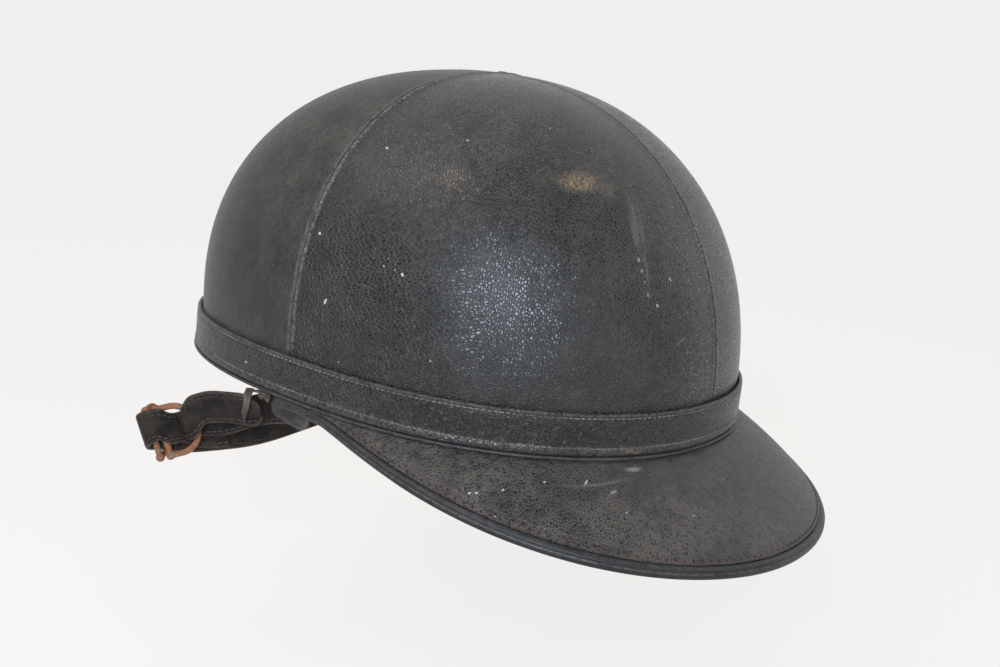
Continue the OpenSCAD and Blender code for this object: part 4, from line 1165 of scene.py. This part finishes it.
def tab_thread(side, t, toward):
    line = [tab_point(side, tab_outline(v, TAB_LINE) * math.cos(v), tab_outline(v, TAB_LINE) * math.sin(v), t)
            for v in circle(THREAD_SIDES)]
    return stitches(line, [(side * toward, 0, 0)] * len(line), TAB_STITCH, ring=True, seed=41)


for side, label in ((-1, "right"), (1, "left")):
    name, threads = f"strap_tab_{label}", [tab_thread(side, TAB_T - 0.1, 1), tab_thread(side, 0.1, -1)]
    piece(name, [tab(side)], TAB_LEATHER, [name], {"rubbed": TAB_RUB * TAB_SIDES}, "chin_strap")
    piece(f"{name}_stitches", threads, DARK_THREAD, body="chin_strap")


# Chin strap

BUCKLE_O = np.array([-129, 67, -27.6])
AXIS_D = np.array([0.57853, -0.74049, 0.34202])
AXIS_E = np.array([-0.78801, -0.61566, 0])
AXIS_W = np.array([-0.21057, 0.26952, 0.93969])
EDGE_GAP, SETTLE_STEPS = 2.3, 100


def buckle_row(d, e, w, share=1):
    """A row given along the buckle's own axes."""
    return row(BUCKLE_O + d * AXIS_D + e * AXIS_E + w * AXIS_W, AXIS_W, share)


def strap_section():
    """The strap's section, with a groove for the thread near each edge, and how much each corner is rubbed."""
    a, b = STRAP_W / 2, STRAP_T / 2
    g = a - EDGE_GAP
    top = [(-a + 1.05, b), (-a + 1.5, b), (-g - 0.35, b), (-g, b - 0.22), (-g + 0.35, b), (-g / 2, b + 0.04),
           (0, b + 0.05), (g / 2, b + 0.04), (g - 0.35, b), (g, b - 0.22), (g + 0.35, b), (a - 1.5, b), (a - 1.05, b)]
    edge = [(a - 0.4, b - 0.28), (a - 0.05, 0.45), (a, 0), (a - 0.05, -0.45), (a - 0.4, -b + 0.28)]
    rub = [0.35, 0.1, 0, 0, 0, 0, 0, 0, 0, 0, 0, 0.1, 0.35] + [0.9, 1, 0.7, 1, 0.9]
    return top + edge + [(-x, -y) for x, y in top + edge], rub * 2


def strap(name, rows, seed, tip=0):
    """A flat strap with sewn edges; its last tip sections round off to a blunt point."""
    rows = smooth(rows, 7)
    soft = np.clip((42 - np.arange(len(rows))) / 14, 0.12, 1)[1:-1, None]
    for _ in range(SETTLE_STEPS):
        rows[1:-1] += soft * (rows[:-2] - 2 * rows[1:-1] + rows[2:]) / 4
    path, up, share = rows[:, :3], unit(rows[:, 3:6]), rows[:, 6]
    if tip:
        share = share.copy()
        share[-tip:] *= np.sqrt(1 - 0.9 * np.linspace(0, 1, tip) ** 2)
    run = np.arange(len(path))
    section, rub = strap_section()
    body = sweep(path, up, section, share * (1 - 0.012 * np.sin(run * 0.37 + seed)))
    mask = np.tile(rub, (len(path), 1)) * (0.75 + 0.25 * np.sin(run * 0.9 + seed))[:, None]
    piece(name, [closed(body)], STRAP_LEATHER, [name], {"rubbed": mask}, "chin_strap")
    out = unit(np.cross(unit(np.gradient(path, axis=0)), up))
    threads = []
    for side in (-1, 1):
        for face in (-1, 1):
            offset = [(side * (STRAP_W / 2 - EDGE_GAP), face * (STRAP_T / 2 - 0.1))]
            threads.append(stitches(sweep(path, up, offset, share)[:, 0], out * face, STRAP_STITCH, seed=seed + side))
    piece(f"{name}_stitches", threads, DARK_THREAD, body="chin_strap")


RING_STRAP = [
    row([STRAP_SEAT, 13, -10.5], UP), row([STRAP_SEAT, 24, -12], UP), row([94, 34, -14], UP),
    row([83, 40.5, -15.5], UP), row([62, 43, -17], UP), row([32, 43, -19.5], UP), row([0, 43.5, -21.5], UP),
    row([-30, 45, -24], UP), row([-60, 46.5, -26.5], UP), row([-80, 48.5, -28.5], UP + 0.5 * AXIS_W),
    row([-92, 51, -29.8], UP + AXIS_W),
    buckle_row(24, -12.6, -10.8), buckle_row(16, -10.4, -9.2), buckle_row(8, -7.6, -6.6),
    buckle_row(1, -5.2, -3.2), buckle_row(-3.5, -4.3, -1.1), buckle_row(-7.6, -3.1, 0.6),
    buckle_row(-8.7, -0.4, 2.2), buckle_row(-6.8, 2.4, 4), buckle_row(-2, 3.7, 5.4),
    buckle_row(1.6, 3.3, 3.8, 0.98), buckle_row(4.2, 1.9, 1.8, 0.94), buckle_row(6.3, -0.6, 0.4, 0.93),
    buckle_row(8.6, -3.8, -1.2, 0.97), buckle_row(12.4, -6.1, -4.2), buckle_row(18, -8, -7.2),
    buckle_row(24, -9.8, -8.8),
]
TONGUE_STRAP = [
    row([-STRAP_SEAT, 13, -9], UP), row([-STRAP_SEAT, 23, -10.5], UP), row([-STRAP_SEAT, 33, -12.6], UP),
    row([-97, 39.6, -14.4], UP), row([-101.4, 43.6, -16.6], UP + 0.5 * AXIS_W),
    buckle_row(29, -3, -1.9), buckle_row(22, -3.3, -1), buckle_row(16.5, -3.6, 0, 0.95),
    buckle_row(12.4, -3.2, 0.5, 0.86), buckle_row(10.1, -1.5, 0.7, 0.82), buckle_row(9.4, 0, 0.8, 0.82),
    buckle_row(10, 1.7, 1, 0.83), buckle_row(12.4, 3.5, 2.4, 0.9), buckle_row(16.5, 4, 5.6),
    buckle_row(21, 3.6, 7.6), buckle_row(28, 3.9, 6.4), buckle_row(35, 4.6, 4.2), buckle_row(41, 5.4, 2),
    buckle_row(46, 6.2, 0.4),
]
strap("ring_strap", RING_STRAP, seed=51)
strap("tongue_strap", TONGUE_STRAP, seed=61, tip=12)


# Thong

THONG_UP = [1, -1.2, 0]
HANGING = [
    row([-109, 35.7, -2.7], THONG_UP, 0.9), row([-110.7, 34.4, -3.0], THONG_UP, 0.95),
    row([-112.5, 33.2, -4], [1, -1, 0.1], 0.95), row([-113.3, 32.7, -6.4], [1, -0.6, 0.15], 0.8),
    row([-113.5, 32.8, -9], [1, -0.9, 0], 0.72), row([-113.8, 33.2, -11.8], [1, -1.6, -0.1], 0.66),
    row([-113.5, 33.2, -14.4], [1, -1.1, 0.1], 0.5),
]
STUB = [
    row([-107, 33, -2.7], [1, -1.2, 0.1]), row([-105.8, 30.8, -3.5], [1, -0.9, 0.3], 0.85),
    row([-105.4, 29, -4.8], [0.6, 0, 0.8], 0.9), row([-105, 27, -5.8], [0.4, 0.1, 1]),
]
LACE_SECTION = [(-1.9, 0), (-1.7, 0.45), (-1.1, 0.6), (0, 0.5), (1.1, 0.6), (1.7, 0.45), (1.9, 0), (1.7, -0.45),
                (1.1, -0.6), (0, -0.5), (-1.1, -0.6), (-1.7, -0.45)]
LACE_RUB, KNOT_RUB = [1, .7, .2, 0, .2, .7, 1, .7, .2, 0, .2, .7], 0.35
KNOT_AT, TORN_AT = np.array([-105.9, 30.6, -4.6]), np.array([-113.5, 33.2, -13.4])


def lace(rows, seed):
    """One end of the thong, a little uneven in width and narrower at its tip."""
    rows = smooth(rows, 6)
    i = np.arange(len(rows))
    taper = 1 - 0.45 * ease(i / (len(rows) - 1), 0.86, 1.0)
    return closed(sweep(rows[:, :3], unit(rows[:, 3:6]), LACE_SECTION,
                        rows[:, 6] * taper * (1 + 0.05 * np.sin(i * 1.3 + seed))))


def knot():
    """Two turns of the thong round its own short end."""
    t = np.linspace(0, 4 * np.pi, 44)[:, None]
    along = unit(np.array([0.3, -0.8, -0.5]))
    side = unit(np.cross(along, UP))
    path = KNOT_AT + (1.35 + 0.12 * np.sin(3 * t)) * (side * np.cos(t) + np.cross(along, side) * np.sin(t))
    path = path + along * np.linspace(-1.1, 1.1, len(t))[:, None]
    from_end = np.minimum(np.arange(len(t)), np.arange(len(t))[::-1])
    return tube(path, 0.85 * np.minimum(1, from_end / 5 + 0.25), 10)


def frayed_end():
    """Fibres at the torn end of the hanging part."""
    rng = np.random.default_rng(7)
    parts = []
    for k in range(5):
        a = TORN_AT + rng.normal(0, 0.25, 3)
        b = a + np.array([rng.normal(0, 0.5), rng.normal(0, 0.5), -1.6 - 0.5 * k % 1.3])
        parts.append(tube([a, (a + b) / 2 + rng.normal(0, 0.1, 3), b], [0.26, 0.2, 0.08], 6))
    return parts


def thread_ends():
    """Two thread ends that stand out of the band above the thong."""
    parts = []
    for px, py, dx, dz in ((248, 376, -0.7, 1.6), (255, 377, 1.0, 1.2)):
        a = np.array(pixel_point(band_tree, px, py)) / MM
        out = unit(a - np.array([0, a[1], a[2]]))
        bend, tip = np.array([0, -dx, dz]), np.array([0, -2 * dx, dz * 1.5])
        path = [a - out * 0.3, a + out * 0.7, a + out * 0.9 + bend, a + out * 1.3 + tip]
        parts.append(tube(path, [0.42, 0.4, 0.3, 0.12], 6))
    return parts


thong_parts = [lace(HANGING, seed=1), lace(STUB, seed=2), knot(), *frayed_end()]
thong_rub = [r for p, _ in thong_parts
             for r in (LACE_RUB if p.shape[1] == len(LACE_RUB) else [KNOT_RUB] * p.shape[1]) * p.shape[0]]
thong = piece("rim_thong", thong_parts, THONG_LEATHER, ["rim_thong"],
              {"rubbed": thong_rub})
piece("band_thread_ends", thread_ends(), THONG_LEATHER)
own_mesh(thong)


# CAD nodes that stay, with their materials

SHELL = crusted("shell_composition", (0.1, 0.075, 0.055), (0.13, 0.085, 0.05), (0.05, 0.035, 0.025), 0.5, metal=False)
BOARD = crusted("board", (0.25, 0.18, 0.12), (0.22, 0.16, 0.1), (0.15, 0.1, 0.07), 0.5, metal=False)
for node, material in (("shell", SHELL), ("peak_board", BOARD), ("strap_rivets", TARNISH), ("ring_outer", RUST),
                       ("ring_inner", RUST)):
    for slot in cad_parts[node].material_slots:
        slot.material = material


# Light and stage

HIGHLIGHT_AT = Vector((-0.075, -0.06, 0.09))
WINDOW_AT = HIGHLIGHT_AT + Vector((-0.851, -0.426, 0.306)).normalized()
# Name, place, aim, size, watts and colour of each lamp
LAMPS = [
    ("window", WINDOW_AT, HIGHLIGHT_AT, 0.5, 16.0, (0.7, 0.83, 1.0)),
    ("second_window", (-0.38, -1.0, 0.18), (-0.06, -0.09, 0.04), 0.9, 3.0, (0.84, 0.9, 1.0)),
    ("fill", (1.1, -0.9, 0.5), (0.03, -0.05, 0.05), 0.8, 1.5, (1.0, 0.98, 0.94)),
    ("ceiling", (-0.8, 0.42, 1.2), (-0.08, -0.04, 0.09), 0.7, 6.5, (1.0, 0.97, 0.92)),
]
for name, at, aim, size, watts, colour in LAMPS:
    lamp = bpy.data.lights.new(name, "AREA")
    lamp.shape, lamp.size, lamp.energy, lamp.color = "DISK", size, watts, colour
    light = stand(name, lamp)
    light.location = at
    light.rotation_euler = (Vector(aim) - Vector(at)).to_track_quat("-Z", "Y").to_euler()

# The booth is pale behind the cap and darker on the side that faces the camera
BOOTH_BACK = (0.66, 0.7, 0.26)
BOOTH_LIGHT = (0.97, 0.98, 1.0, 1)
BACKDROP = (0.863, 0.863, 0.871)
FLOOR_Z, FLOOR_HALF = -0.13, 8.0
FLOOR_GREY, FLOOR_MATT = (0.55, 0.55, 0.55, 1), (0.85, 0.85, 0.85, 1)
FLOOR_NEAR = (0.93, 0.905, 0.88)


def make_world():
    world = bpy.data.worlds.new("booth")
    bpy.context.scene.world = world
    world.use_nodes = True
    g = Graph(world.node_tree)
    path = g.node("LightPath").outputs
    facing = g.vector("DOT_PRODUCT", g.node("TexCoord").outputs["Generated"], BOOTH_BACK)
    shiny = g.times(path["Is Glossy Ray"], g.span(facing, 0.0, 0.6))
    seen = g.math("MAXIMUM", g.math("MAXIMUM", path["Is Camera Ray"], path["Is Transmission Ray"]), shiny)
    light = g.node("Background", {"Color": BOOTH_LIGHT, "Strength": g.span(facing, -0.5, 0.9, 0.04, 1.05)})
    shown = g.node("Background", {"Color": (*BACKDROP, 1), "Strength": 1.0})
    g.feed(g.tree.nodes["World Output"], {"Surface": g.mix_shaders(seen, light, shown).outputs[0]})


def make_floor():
    """A floor that looks like the backdrop and keeps the object's shadow near it."""
    s, z = FLOOR_HALF, FLOOR_Z
    mesh = bpy.data.meshes.new("floor")
    mesh.from_pydata([(-s, -s, z), (s, -s, z), (s, s, z), (-s, s, z)], [], [(0, 1, 2, 3)])
    g = Material("pale_floor")
    g.feed(g.shader, {"Base Color": FLOOR_GREY, "Roughness": 0.9})
    away = g.vector("LENGTH", g.where)
    glow = g.node("Emission", {"Color": g.mix(g.span(away, 0.35, 1.3), FLOOR_NEAR, BACKDROP), "Strength": 1.0})
    matt = g.node("BsdfDiffuse", {"Color": FLOOR_MATT})
    shadow = g.mix_shaders(g.span(away, 0.3, 1.0, 0.16, 0.0), glow, matt)
    path = g.node("LightPath").outputs
    seen = g.math("MAXIMUM", path["Is Camera Ray"], path["Is Transmission Ray"])
    seen = g.math("MAXIMUM", seen, path["Is Glossy Ray"])
    both = g.mix_shaders(seen, g.shader, shadow)
    g.feed(g.tree.nodes["Material Output"], {"Surface": both.outputs[0]})
    mesh.materials.append(g.material)
    floor = stand("floor", mesh)


make_world()
make_floor()

bpy.context.scene.view_settings.view_transform = "Standard"
